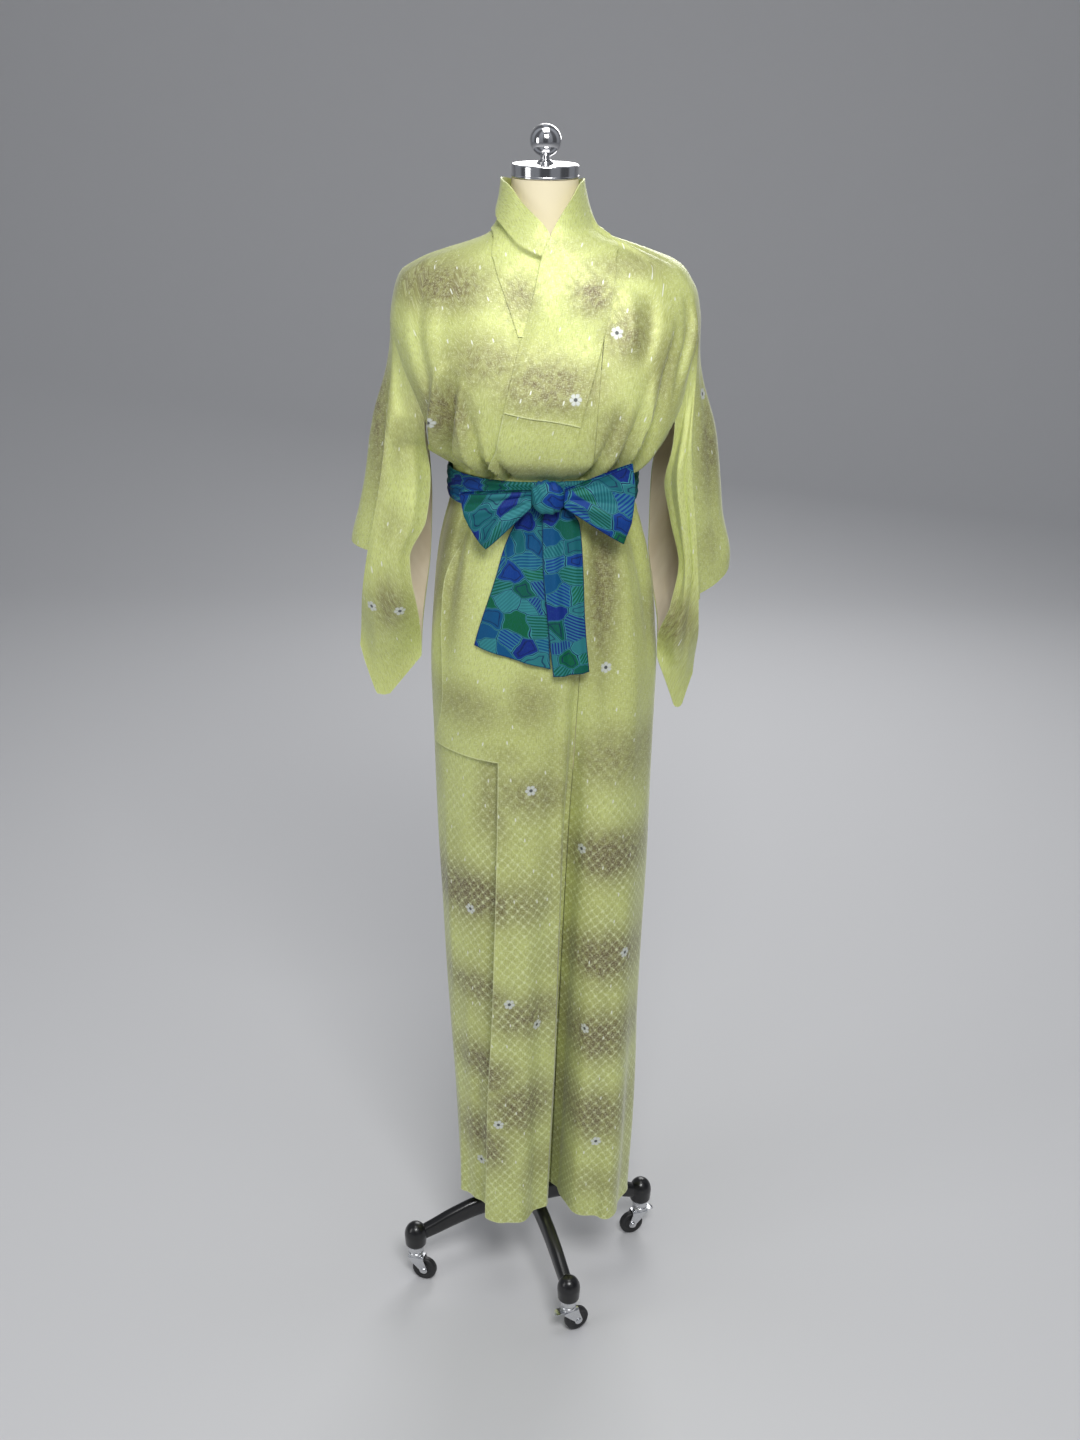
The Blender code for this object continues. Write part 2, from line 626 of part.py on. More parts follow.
def robe_rows(low, high):
    # The shared heights between two ends, with the ends themselves.
    shared = np.array(ROBE_ROWS)
    inside = shared[(shared > low + 1e-4) & (shared < high - 1e-4)]
    return np.concatenate(([low], inside, [high]))


def side_name(side):
    return "left" if side > 0 else "right"


def side_folds(side):
    return OUTER_FOLDS if side > 0 else UNDER_FOLDS


def front_collar(side):
    return LEFT_COLLAR if side > 0 else RIGHT_COLLAR


def neck_collar(side):
    return NECK_COLLAR if side > 0 else NECK_RIGHT_COLLAR


def seam_angle(side, z):
    # Front edge of a body panel: the overlap's seam, then the collar's seam above the overlap's tip.
    collar, neck = front_collar(side), neck_collar(side)
    overlap = LEFT_OKUMI_SEAM if side > 0 else RIGHT_OKUMI_SEAM
    top = overlap["z"][-1]
    if side > 0:
        low_z, high_z, low_angle, high_angle = (OUTER_FOLDS[key][0] for key in FOLD_COLUMNS.split()[:4])
        skirt = low_angle + (high_angle - low_angle) * np.clip((z - low_z) / (high_z - low_z), 0, 1)
    else:
        skirt = angle_at(np.full_like(z, RIGHT_OKUMI_SEAM_X), z)
    chest = angle_at(read(overlap, "x", z), z)
    mixed = skirt + (chest - skirt) * ramp(z, SKIRT_TOP, WAIST)
    sewn = angle_at(read(collar, "seam", z), z)
    turning = float(angle_at(collar["seam"][-1], NECK_TURN))
    round_neck = np.interp(z, (NECK_TURN, neck["seam_z"][0], neck["seam_z"][2]),
                           (turning, neck["seam_angle"][0], side * 90.0))
    edge = np.where(z < top, mixed, sewn)
    return np.where(z > NECK_TURN, round_neck, edge)


def left_layer(angle):
    # The left front lies over the right one, and comes down to the form towards the side.
    return LAYER * (1 - ramp(np.abs(angle), *LAYER_FADE))


def body_panel(side):
    # Half of the body: back and front in one length over the shoulder, open under the arm.
    name, folds = side_name(side), side_folds(side)
    z = robe_rows(HEM, BODY_TOP)
    centre_back = np.full_like(z, side * (180.0 - SEAM_TURN))
    back = side * np.interp(z, ARMHOLE["z"], ARMHOLE["back"])
    front = side * np.interp(z, ARMHOLE["z"], ARMHOLE[name + "_front"])
    edge = seam_angle(side, z) + side * SEAM_TURN
    edge = side * np.minimum(side * edge, side * front - LEAST_FRONT)
    groups = (spread(centre_back, back, BACK_CELLS)[:, :-1], spread(back, front, ARMHOLE_CELLS)[:, :-1],
              spread(front, edge, FRONT_CELLS))
    angle = np.concatenate(groups, axis=1)
    height = np.repeat(z[:, None], angle.shape[1], axis=1)
    out = left_layer(angle) if side > 0 else np.zeros_like(angle)
    keep = np.ones((len(z) - 1, angle.shape[1] - 1), dtype=bool)
    middle = (z[:-1] + z[1:]) / 2
    open_rows = (middle > SLIT_BOTTOM) & (middle < ARMHOLE_TOP)
    keep[open_rows, BACK_CELLS:BACK_CELLS + ARMHOLE_CELLS] = False
    inner, outer = robe(angle, height, out, folds), robe(angle, height, out + WALL, folds)
    wall("body_" + name, inner, outer, "silk", keep)


def okumi(side):
    # Overlap panel: from the body's seam to its free edge, and to the collar's seam above that.
    name, folds = side_name(side), side_folds(side)
    z = robe_rows(HEM, OKUMI_TOP[name])
    seam = seam_angle(side, z) - side * SEAM_TURN
    below = z < EDGE_CHANGE
    free = angle_at(np.where(below, read(OKUMI_EDGE, name, z), read(front_collar(side), "seam", z)), z)
    free = side * np.minimum(side * free + np.where(below, 0.0, COLLAR_SEAM_TURN), side * seam - TIP_TURN)
    angle = spread(seam, free, OKUMI_CELLS[name])
    height = np.repeat(z[:, None], angle.shape[1], axis=1)
    out = np.full_like(angle, LAYER if side > 0 else 0.0)
    wall("okumi_" + name, robe(angle, height, out, folds), robe(angle, height, out + WALL, folds), "silk")


def collar_grid(side, low):
    # Angles, heights and distance out of one half of the collar: up the front on its panel, then round
    # the neck to the centre of the back. The left half lies over the right one where they cross.
    front, neck = front_collar(side), neck_collar(side)
    z = robe_rows(low, NECK_TURN)
    seam = angle_at(read(front, "seam", z), z)
    free = angle_at(read(front, "free", z), z)
    seam_z = np.concatenate((z, neck["seam_z"]))
    free_z = np.concatenate((z, neck["free_z"]))
    seam = np.concatenate((seam, neck["seam_angle"])) - side * COLLAR_SEAM_TURN
    free = np.concatenate((free, neck["free_angle"]))
    angle = spread(seam, free, COLLAR_CELLS)
    seam_z = seam_z + np.where(seam_z > NECK_SEAM_FROM, NECK_SEAM_RISE, 0.0)
    height = spread(seam_z, free_z, COLLAR_CELLS)
    out = np.zeros_like(angle)
    if side > 0:
        crossing = 1 - ramp(np.abs(angle), *CROSSING_ANGLES) * ramp(height, *CROSSING_END)
        out = crossing * (LAYER + CROSSING_RISE * ramp(height, *CROSSING_START))
    return angle, height, out


def collar_half(side):
    name, folds = side_name(side), side_folds(side)
    angle, height, out = collar_grid(side, COLLAR_END)
    wall("collar_" + name, robe(angle, height, out, folds), robe(angle, height, out + WALL, folds), "silk")
    # The over-collar is a second length on the collar, moved out from the same points.
    angle, height, out = collar_grid(side, OVER_COLLAR_END[name])
    out = out + WALL + OVER_COLLAR_GAP
    inner, outer = robe(angle, height, out, folds), robe(angle, height, out + WALL, folds)
    wall("over_collar_" + name, inner, outer, "silk")


def sleeve_grid(side):
    # Sleeve as one sheet folded at the top: down the front layer's columns from the underarm seam to the
    # crease, round the top fold, and back along the rear layer. Rows run from the seam to the lower edge.
    name, folds = side_name(side), side_folds(side)
    rows, corners = SLEEVES[name], SLEEVE_CORNERS[name]
    layer = np.linspace(0.0, 1.0, LAYER_CELLS + 1)
    strip = np.linspace(0.0, 1.0, STRIP_CELLS + 1)[1:-1]
    columns = len(layer) * 2 + len(strip)
    front, back = slice(0, len(layer)), slice(columns - len(layer), columns)

    seam_z = np.full(columns, ARMHOLE_TOP - SEAM)
    seam_z[front] = UNDERARM + (ARMHOLE_TOP - SEAM - UNDERARM) * layer
    seam_z[back] = seam_z[front][::-1]
    front_edge = np.interp(seam_z, ARMHOLE["z"], ARMHOLE[name + "_front"]) + SLEEVE_TURN
    back_edge = np.interp(seam_z, ARMHOLE["z"], ARMHOLE["back"]) - SLEEVE_TURN
    share = np.zeros(columns)
    share[len(layer):columns - len(layer)] = strip
    share[back] = 1.0
    angle = side * (front_edge + (back_edge - front_edge) * share)
    out = left_layer(angle) if side > 0 else np.zeros(columns)
    top = robe(angle, seam_z, out, folds)

    along = np.concatenate((layer, np.ones(len(strip)), layer[::-1]))
    low_z = np.interp(along, (0.0, *corners["tip_place"], 1.0),
                      (corners["inner"], corners["tip"], corners["tip"], corners["cuff"]))
    cuff_z = CUFF_HEIGHT[name] + CUFF_SLANT * (1 - along) + CUFF_RISE[name] * (1 - np.abs(1 - 2 * share))
    t = np.linspace(0.0, 1.0, CUFF_ROW + 1)[:, None]
    upper = seam_z + (cuff_z - seam_z) * t
    t = np.linspace(0.0, 1.0, SLEEVE_ROWS - CUFF_ROW + 1)[1:, None]
    lower = cuff_z + (low_z - cuff_z) * t
    z = np.concatenate((upper, lower))

    # Above the table's last row the edges run up to the seam at the underarm, the crease and the top fold.
    at = {key: read(rows, key, z) for key in SLEEVE_COLUMNS.split()[1:]}
    crease_at, fold_at, back_crease_at = LAYER_CELLS, columns // 2, columns - 1 - LAYER_CELLS
    ends = {"inner": side * top[0, 0], "inner_y": top[0, 1], "crease": side * top[crease_at, 0],
            "crease_y": top[crease_at, 1], "fold": side * top[fold_at, 0],
            "back_crease": side * top[back_crease_at, 0], "back_crease_y": top[back_crease_at, 1],
            "back_inner": side * top[-1, 0], "back_inner_y": top[-1, 1]}
    last = rows["z"][-1]
    for key, end in ends.items():
        reach = UNDERARM if "inner" in key else ARMHOLE_TOP
        at[key] = at[key] + (end - at[key]) * np.clip((z - last) / (reach - last), 0.0, 1.0)
    swell = SLEEVE_SWELL * np.sin(np.pi * along) * ramp(seam_z - z, 0.0, SWELL_REACH)
    front_x = at["inner"] + (at["crease"] - at["inner"]) * along
    front_y = at["inner_y"] + (at["crease_y"] - at["inner_y"]) * along - swell
    back_x = at["back_inner"] + (at["back_crease"] - at["back_inner"]) * along
    back_y = at["back_inner_y"] + (at["back_crease_y"] - at["back_inner_y"]) * along + swell
    bow = at["fold"] - (at["crease"] + at["back_crease"]) / 2
    strip_x = at["crease"] + (at["back_crease"] - at["crease"]) * share + bow * 4 * share * (1 - share)
    strip_y = at["crease_y"] + (at["back_crease_y"] - at["crease_y"]) * share
    number = np.arange(columns)
    is_front, is_back = number < len(layer), number >= columns - len(layer)
    x = side * np.where(is_front, front_x, np.where(is_back, back_x, strip_x))
    y = np.where(is_front, front_y, np.where(is_back, back_y, strip_y))

    # The two layers are sewn together along the lower edge.
    row = np.arange(SLEEVE_ROWS + 1)[:, None]
    close = ramp(row, CUFF_ROW + CLOSE_FROM, SLEEVE_ROWS)
    middle = (y + y[:, ::-1]) / 2
    apart = np.where(is_front, -1.0, 1.0) * EDGE_APART
    y = y + (middle + apart - y) * close
    x = x + ((x + x[:, ::-1]) / 2 - x) * close
    settle = ramp(row, 0.0, SETTLE_ROWS)
    grid = np.stack((top[:, 0] + (x - top[:, 0]) * settle, top[:, 1] + (y - top[:, 1]) * settle, z), axis=-1)
    outer = grid + grid_normals(grid) * -side * WALL
    outer[0] = robe(angle, seam_z, out + WALL, folds)
    return grid, outer


def sleeve(side):
    # Sleeve open at the cuff, and its lining a little inside the same points.
    name = side_name(side)
    grid, outer = sleeve_grid(side)
    normal = (outer - grid) / WALL
    columns = grid.shape[1]
    keep = np.ones((SLEEVE_ROWS, columns - 1), dtype=bool)
    keep[CUFF_ROW:, LAYER_CELLS:columns - 1 - LAYER_CELLS] = False
    wall("sleeve_" + name, grid, outer, "silk", keep)
    lined = slice(1, SLEEVE_ROWS - 1)
    wall("sleeve_lining_" + name, grid[lined] - normal[lined] * LINING_DROP,
         grid[lined] - normal[lined] * (LINING_DROP - LINING_WALL), "lining", keep[1:SLEEVE_ROWS - 2])


def build_robe():
    for side in (1, -1):
        body_panel(side)
        okumi(side)
        collar_half(side)
        sleeve(side)


def band():
    # Narrow sash band round the waist, an even distance from the robe.
    angle = np.arange(BAND_CELLS) * 360.0 / BAND_CELLS
    angle = np.repeat(angle[None], BAND_ROWS, axis=0)
    height = np.linspace(BAND_LOW, BAND_HIGH, BAND_ROWS)[:, None] + np.zeros_like(angle)
    level = np.full_like(angle, (BAND_LOW + BAND_HIGH) / 2)
    belly = BAND_BELLY * np.sin(np.pi * (height - BAND_LOW) / (BAND_HIGH - BAND_LOW))
    inner = robe(angle, level, BAND_OUT + belly, NO_FOLDS)
    outer = robe(angle, level, BAND_OUT + belly + SASH_WALL, NO_FOLDS)
    inner[..., 2] = height
    outer[..., 2] = height
    wall("sash_band", inner, outer, "sash_cloth", wrap=True)


def knot():
    # Rounded knot on the front of the band.
    centre = Vector(KNOT["centre"])
    bm = bmesh.new()
    bmesh.ops.create_uvsphere(bm, u_segments=KNOT_CELLS[0], v_segments=KNOT_CELLS[1], radius=1.0)
    for vert in bm.verts:
        direction = vert.co.copy()
        boxy = [math.copysign(abs(value) ** KNOT_SQUARE, value) for value in direction]
        vert.co = centre + Vector(half * value for half, value in zip(KNOT["half"], boxy))
    finish_mesh("sash_knot", bm, "sash_cloth")


def bow_loop(name, corners):
    # Bow loop: a strip that leaves the knot, turns at its tip and comes back behind itself.
    s = np.linspace(0.0, math.pi, LOOP_CELLS + 1)[None]
    v = np.linspace(0.0, 1.0, LOOP_HEIGHT_CELLS + 1)[:, None]
    reach = np.sin(s) ** LOOP_ROUND
    knot_low, knot_high, tip_low, tip_high = (
        np.array(corners[key]) for key in ("knot_low", "knot_high", "tip_low", "tip_high"))
    knot_edge = knot_low + (knot_high - knot_low) * v[..., None]
    tip_edge = tip_low + (tip_high - tip_low) * v[..., None]
    place = knot_edge + (tip_edge - knot_edge) * reach[..., None]
    side = np.sign(tip_high[0])
    x = place[..., 0] + side * LOOP_TIP_BULGE * np.sin(np.pi * v) * reach
    z = place[..., 1] + 0 * s
    deep = LOOP_DEEP * (LOOP_NECK + (1 - LOOP_NECK) * reach)
    y = LOOP_Y - deep * np.cos(s) - LOOP_WAVE * np.sin(2 * np.pi * v) * reach
    grid = np.stack((x, y + 0 * v, z), axis=-1)
    normal = grid_normals(grid) * side
    wall(name, grid, grid + normal * SASH_WALL, "sash_cloth")


def tail(name, edges, out, slant, wave):
    # Hanging end of the sash, on the robe's front, with a soft length-wise wave.
    z = np.linspace(edges["z"][0], edges["z"][-1], TAIL_ROWS)
    x = spread(read(edges, "left", z), read(edges, "right", z), TAIL_CELLS)
    t = np.linspace(0.0, 1.0, TAIL_CELLS + 1)[None]
    drop = ramp(z[-1] - z, 0.0, WAVE_REACH)[:, None]
    height = z[:, None] + slant * t * (1 - ramp(z[:, None], z[0], z[0] + SLANT_REACH))
    lift = out + wave * drop * (0.5 - 0.5 * np.cos(4 * np.pi * t))
    angle = angle_at(x, z[:, None] + 0 * x)
    inner = robe(angle, height, lift, NO_FOLDS)
    outer = robe(angle, height, lift + SASH_WALL, NO_FOLDS)
    wall(name, inner, outer, "sash_cloth")


def build_sash():
    band()
    knot()
    for name, corners in LOOPS.items():
        bow_loop("bow_loop_" + name, corners)
    for name, shape in TAILS.items():
        tail("sash_tail_" + name, **shape)


def form_torso():
    # Smooth limbless torso, closed at the bottom and under the neck cap.
    own = FORM["z"]
    shoulder = robe_rows(ARMHOLE_TOP, BODY_TOP)
    z = np.concatenate((own[own < ARMHOLE_TOP], shoulder, own[own > BODY_TOP + NECK_ROW_STEP]))
    fore, flank, rear = (np.linspace(*span) for span in FORM_SPANS)
    half = np.concatenate((fore[:-1], flank[:-1], rear))
    angle = np.radians(np.concatenate((half[:-1], -half[::-1][:-1])))[None]
    wide, front, back = (read(FORM, name, z)[:, None] for name in ("half", "front", "back"))
    square = np.minimum(read(ROBE, "square", z), 1.0)[:, None]
    deep = np.where(np.cos(angle) > 0, front, back)
    x = wide * np.sign(np.sin(angle)) * np.abs(np.sin(angle)) ** square
    y = -deep * np.sign(np.cos(angle)) * np.abs(np.cos(angle)) ** square
    x = np.where(np.abs(np.sin(angle)) < 1e-9, 0.0, x)
    bm = bmesh.new()
    rings = [[bm.verts.new((px, py, height)) for px, py in zip(xs, ys)] for xs, ys, height in zip(x, y, z)]
    for low, high in zip(rings, rings[1:]):
        for i in range(len(low)):
            j = (i + 1) % len(low)
            bm.faces.new((low[i], low[j], high[j], high[i]))
    bm.faces.new(rings[0][::-1])
    bm.faces.new(rings[-1])
    finish_mesh("form_torso", bm, "form_cloth", sharp=50)


def finial():
    # Chrome neck cap with its ball on a short stem.
    low = NECK_TOP + TOUCH
    rim = NECK_RADIUS + CAP_PROUD
    turn_profile("neck_cap", ((0, low), (NECK_RADIUS, low), (rim, low + CAP_EDGE), (rim, CAP_TOP - CAP_EDGE),
                              (rim - CAP_EDGE, CAP_TOP), (0, CAP_TOP)), "chrome", sides=28)
    base = CAP_TOP + TOUCH
    stem = ((0, base), *((radius, base + height) for radius, height in STEM))
    start = math.asin(STEM_TOP_RADIUS / BALL_RADIUS)
    ball = []
    for i in range(BALL_ROWS - 1):
        a = (math.pi - start) * (1 - i / (BALL_ROWS - 1))
        ball.append((BALL_RADIUS * math.sin(a), BALL_HEIGHT + BALL_RADIUS * math.cos(a)))
    ball.append((0, BALL_HEIGHT + BALL_RADIUS))
    turn_profile("finial", (*stem, *ball), "chrome", sides=18, sharp=45)


def swept_leg(angle):
    # Arched leg of rounded rectangular section, from inside the hub to its caster cup.
    direction = Vector((math.cos(angle), math.sin(angle), 0))
    across = Vector((-direction.y, direction.x, 0))
    bm = bmesh.new()
    rings = []
    stations = len(LEG["reach"])
    for i in range(stations):
        before, after = max(i - 1, 0), min(i + 1, stations - 1)
        run = LEG["reach"][after] - LEG["reach"][before]
        rise = LEG["z"][after] - LEG["z"][before]
        up = (Vector((0, 0, 1)) * run - direction * rise).normalized()
        centre = direction * LEG["reach"][i] + Vector((0, 0, LEG["z"][i]))
        w, h = LEG["width"][i] / 2, LEG["height"][i] / 2
        ring = []
        for k in range(LEG_SIDES):
            a = 2 * math.pi * (k + 0.5) / LEG_SIDES
            u = math.copysign(abs(math.cos(a)) ** LEG_ROUND, math.cos(a))
            v = math.copysign(abs(math.sin(a)) ** LEG_ROUND, math.sin(a))
            ring.append(bm.verts.new(centre + across * (w * u) + up * (h * v)))
        rings.append(ring)
    for low, high in zip(rings, rings[1:]):
        for k in range(LEG_SIDES):
            j = (k + 1) % LEG_SIDES
            bm.faces.new((low[k], low[j], high[j], high[k]))
    bm.faces.new(rings[0][::-1])
    bm.faces.new(rings[-1])
    return bm


def as_tool(obj):
    # Hidden solid that another object's Boolean joins or cuts with.
    obj.hide_render = True
    obj.display_type = "WIRE"
    return obj


def join(obj, tool, operation="UNION"):
    boolean = obj.modifiers.new(tool.name, "BOOLEAN")
    boolean.operation = operation
    boolean.object = as_tool(tool)


def leg_angle(i):
    return math.radians(LEG_TURN + 360 / LEGS * i)


def leg_end(i):
    return LEG_REACH * math.cos(leg_angle(i)), LEG_REACH * math.sin(leg_angle(i))


def build_base():
    # Cast base: hub, four legs and the cups that take the casters, joined into one piece.
    step_in, shoulder = HUB_SHOULDER
    hub = turn_profile("base", ((0, HUB_BOTTOM), (HUB_RADIUS - HUB_EDGE, HUB_BOTTOM),
                                (HUB_RADIUS, HUB_BOTTOM + HUB_EDGE), (HUB_RADIUS, HUB_TOP - shoulder),
                                (HUB_RADIUS - step_in, HUB_TOP), (0, HUB_TOP)), "cast_iron", sides=20)
    wall_top = CUP_BOTTOM + CUP_WALL
    bend = (DOME_BEND[0] * CUP_RADIUS, wall_top + DOME_BEND[1] * (CUP_TOP - wall_top))
    dome = ((CUP_RADIUS, wall_top), bend, (0, CUP_TOP))
    foot = ((0, CUP_BOTTOM), (CUP_RADIUS - CUP_EDGE, CUP_BOTTOM), (CUP_RADIUS, CUP_BOTTOM + CUP_EDGE))
    for i in range(LEGS):
        leg = finish_mesh("leg_tool_" + str(i), swept_leg(leg_angle(i)), "cast_iron")
        join(hub, leg)
        cup = turn_profile("cup_tool_" + str(i), (*foot, *dome), "cast_iron", sides=12, centre=leg_end(i))
        join(hub, cup)
    turn_profile("pole", ((0, HUB_TOP + TOUCH), (POLE_RADIUS, HUB_TOP + TOUCH),
                          (POLE_RADIUS, FORM_BOTTOM - TOUCH), (0, FORM_BOTTOM - TOUCH)), "chrome", sides=16)


def block(bm, low, high):
    # Box between two corners in the caster's own frame.
    size = Vector(b - a for a, b in zip(low, high))
    middle = Vector((a + b) / 2 for a, b in zip(low, high))
    made = bmesh.ops.create_cube(bm, size=1.0)["verts"]
    bmesh.ops.scale(bm, vec=size, verts=made)
    bmesh.ops.translate(bm, vec=middle, verts=made)


def fork_sides():
    # The fork's two side plates in its own frame, swivel axis on Z, wheel axis along Y at x = TRAIL:
    # an outline that narrows from the top to the axle, extruded to the plate's thickness.
    half = FORK_GAP / 2
    plate_top = PLATE_LOW + FORK_PLATE
    foot = ((TRAIL + along, WHEEL_RADIUS + up) for along, up in FORK_FOOT)
    outline = ((FORK_REACH[0], plate_top), (FORK_REACH[0], PLATE_LOW - FORK_REAR), *foot,
               (FORK_REACH[1], plate_top))
    bm = bmesh.new()
    for low, high in ((-half - FORK_PLATE, -half), (half, half + FORK_PLATE)):
        near = [bm.verts.new((x, low, z)) for x, z in outline]
        far = [bm.verts.new((x, high, z)) for x, z in outline]
        bm.faces.new(near)
        bm.faces.new(far[::-1])
        for k in range(len(outline)):
            j = (k + 1) % len(outline)
            bm.faces.new((near[j], near[k], far[k], far[j]))
    return bm


def caster_fork(i, place):
    # Fork of a swivel caster: top plate, sides, swivel head and axle, and the brake tab where there is one.
    number = str(i + 1)
    half = FORK_GAP / 2 + FORK_PLATE
    inside = PLATE_LOW + FORK_PLATE / 2
    bm = bmesh.new()
    block(bm, (FORK_REACH[0], -half, PLATE_LOW), (FORK_REACH[1], half, PLATE_LOW + FORK_PLATE))
    fork = finish_mesh("caster_fork_" + number, bm, "zinc", smooth=False)
    sides = finish_mesh("fork_sides_tool_" + number, fork_sides(), "zinc", smooth=False)
    head = turn_profile("fork_head_tool_" + number,
                        ((0, inside), (HEAD_RADIUS - HEAD_EDGE, inside), (HEAD_RADIUS, CUP_BOTTOM - HEAD_HEIGHT),
                         (HEAD_RADIUS, CUP_BOTTOM - TOUCH), (0, CUP_BOTTOM - TOUCH)), "zinc", sides=12)
    bm = bmesh.new()
    bmesh.ops.create_cone(bm, cap_ends=True, segments=8, radius1=AXLE_RADIUS, radius2=AXLE_RADIUS,
                          depth=2 * half + 2 * AXLE_PROUD)
    bmesh.ops.rotate(bm, cent=(0, 0, 0), matrix=Matrix.Rotation(math.radians(90), 3, "X"), verts=bm.verts)
    bmesh.ops.translate(bm, vec=(TRAIL, 0, WHEEL_RADIUS), verts=bm.verts)
    axle = finish_mesh("axle_tool_" + number, bm, "zinc")
    tools = [sides, head, axle]
    if i in BRAKED:
        bm = bmesh.new()
        block(bm, (BRAKE_TAB[0], -BRAKE_HALF, PLATE_LOW - FORK_PLATE), (BRAKE_TAB[1], BRAKE_HALF, inside))
        tools.append(finish_mesh("brake_tool_" + number, bm, "zinc", smooth=False))
    for tool in tools:
        join(fork, tool)
        tool.matrix_world = place
    fork.matrix_world = place


def caster_wheel(i, place):
    # Wheel with a bore that turns on the axle. It has flat sides, one of them down, so that it stands.
    rim = WHEEL_RADIUS / math.cos(math.pi / WHEEL_SIDES)
    half = WHEEL_WIDTH / 2
    edge = WHEEL_EDGE
    profile = ((BORE_RADIUS, -half), (rim - edge, -half), (rim, -half + edge), (rim, half - edge),
               (rim - edge, half), (BORE_RADIUS, half))
    bm = bmesh.new()
    rings = []
    for radius, y in profile:
        ring = []
        for k in range(WHEEL_SIDES):
            a = 2 * math.pi * (k + 0.5) / WHEEL_SIDES - math.pi / 2
            ring.append(bm.verts.new((radius * math.cos(a), y, radius * math.sin(a))))
        rings.append(ring)
    for near, far in zip(rings, rings[1:] + rings[:1]):
        for k in range(WHEEL_SIDES):
            j = (k + 1) % WHEEL_SIDES
            bm.faces.new((near[k], near[j], far[j], far[k]))
    wheel = finish_mesh("caster_wheel_" + str(i + 1), bm, "wheel_rubber", sharp=35)
    wheel.matrix_world = place @ Matrix.Translation((TRAIL, 0, WHEEL_RADIUS))


def caster(i):
    place = Matrix.Translation((*leg_end(i), 0)) @ Matrix.Rotation(math.radians(CASTER_TURNS[i]), 4, "Z")
    caster_fork(i, place)
    caster_wheel(i, place)


def build_stand():
    form_torso()
    finial()
    build_base()
    for i in range(LEGS):
        caster(i)


def main():
    clear_scene()
    build_robe()
    build_sash()
    build_stand()


main()
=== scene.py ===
import math

import bpy
import numpy as np
from mathutils import Matrix, Vector


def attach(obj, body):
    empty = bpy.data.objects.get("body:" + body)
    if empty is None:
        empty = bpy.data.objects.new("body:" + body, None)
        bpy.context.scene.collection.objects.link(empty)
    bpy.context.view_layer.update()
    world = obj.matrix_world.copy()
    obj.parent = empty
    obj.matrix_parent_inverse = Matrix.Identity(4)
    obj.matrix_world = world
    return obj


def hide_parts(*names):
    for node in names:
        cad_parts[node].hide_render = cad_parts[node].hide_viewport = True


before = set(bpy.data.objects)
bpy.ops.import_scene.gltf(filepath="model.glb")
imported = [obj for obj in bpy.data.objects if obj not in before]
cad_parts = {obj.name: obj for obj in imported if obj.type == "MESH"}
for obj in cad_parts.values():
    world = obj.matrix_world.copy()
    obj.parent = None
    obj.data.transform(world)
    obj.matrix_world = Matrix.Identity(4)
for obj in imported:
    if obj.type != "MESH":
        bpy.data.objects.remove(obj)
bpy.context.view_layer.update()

# Silk kimono robe tied with a sash, on a limbless dress form with a four-leg caster base.
# Metres. +Z is up, the robe faces -Y, and +X is the wearer's left. Angles run from the front centre in
# degrees, + to the wearer's left.


def table(columns, *rows):
    # Named columns out of rows, as one array for each name.
    return dict(zip(columns.split(), np.array(rows, dtype=float).T))


cloth = {
    "cell": 0.0056,             # about the size of one cell of a fine grid
    "wall": 0.0009,
    "layer": 0.0026,            # one layer lies this far over the next
    "layerFade": (66.0, 92.0),  # angles between which the left front comes down to the form
    "seamTurn": 0.12,           # degrees that a panel's edge stays back from a seam
    "backTurn": 0.03,           # and at the centre of the back
    "collarLift": 0.0010,       # the collar lies on the panels by this much
    "collarLap": 0.0016,        # and over their edges by this much
    "tipTurn": 0.35,            # degrees that the overlap keeps at its top
    "sleeveTurn": 0.30,         # degrees that a sleeve stays back from the armhole's edges
    "seam": 0.0006,             # and this much from its top
    "liningDrop": 0.0017,       # the lining's inner face lies this far inside the sleeve's
    "liningWall": 0.0007,
    "skirtTop": 1.160,          # from here to the waist the skirt's seam turns into the chest's
    "waist": 1.305,
    "collarEnd": 0.953,
    "edgeChange": 0.9525,       # below this height the overlap's edge is free
    "neckTurn": 1.636,          # above this height the collar's seam runs round the neck
    "bodyTop": 1.668,
    "neckUnder": (4.5, 1.625, 1.640),   # degrees that the body goes on under the collar, from and to these heights
    "layerTop": (1.615, 1.652),         # heights between which the left front comes down to the neck
    "neckLift": (0.0008, 1.620, 1.650),
    "leastFront": 6.0,          # least width of the body's front, in degrees
    "overGap": 0.0004,
    "overEnd": {"left": 1.4440, "right": 1.545},
    "overSlant": 0.0085,        # the over-collar ends this much lower at its seam, and higher at its edge
    # Free edges stand off by this much from this share on: the collar, then the overlap.
    "edgeLift": (0.0024, 0.86, 0.0060, 0.78),
    "crossRise": 0.0046,        # the left collar stands this much further out where it crosses
    "crossStart": (1.53, 1.60),
    "crossEnd": (1.60, 1.66),
    "crossAngles": (25.0, 70.0),
    "neckSeamFrom": 1.64,
    "neckSeamRise": 0.0008,
    "hemReach": 0.0045,         # the hem is this wide
    "hemRoll": 0.0007,          # and this much fuller
}
hemHeight = 0.150
neckTop = 1.7327
neckRadius = 0.0435

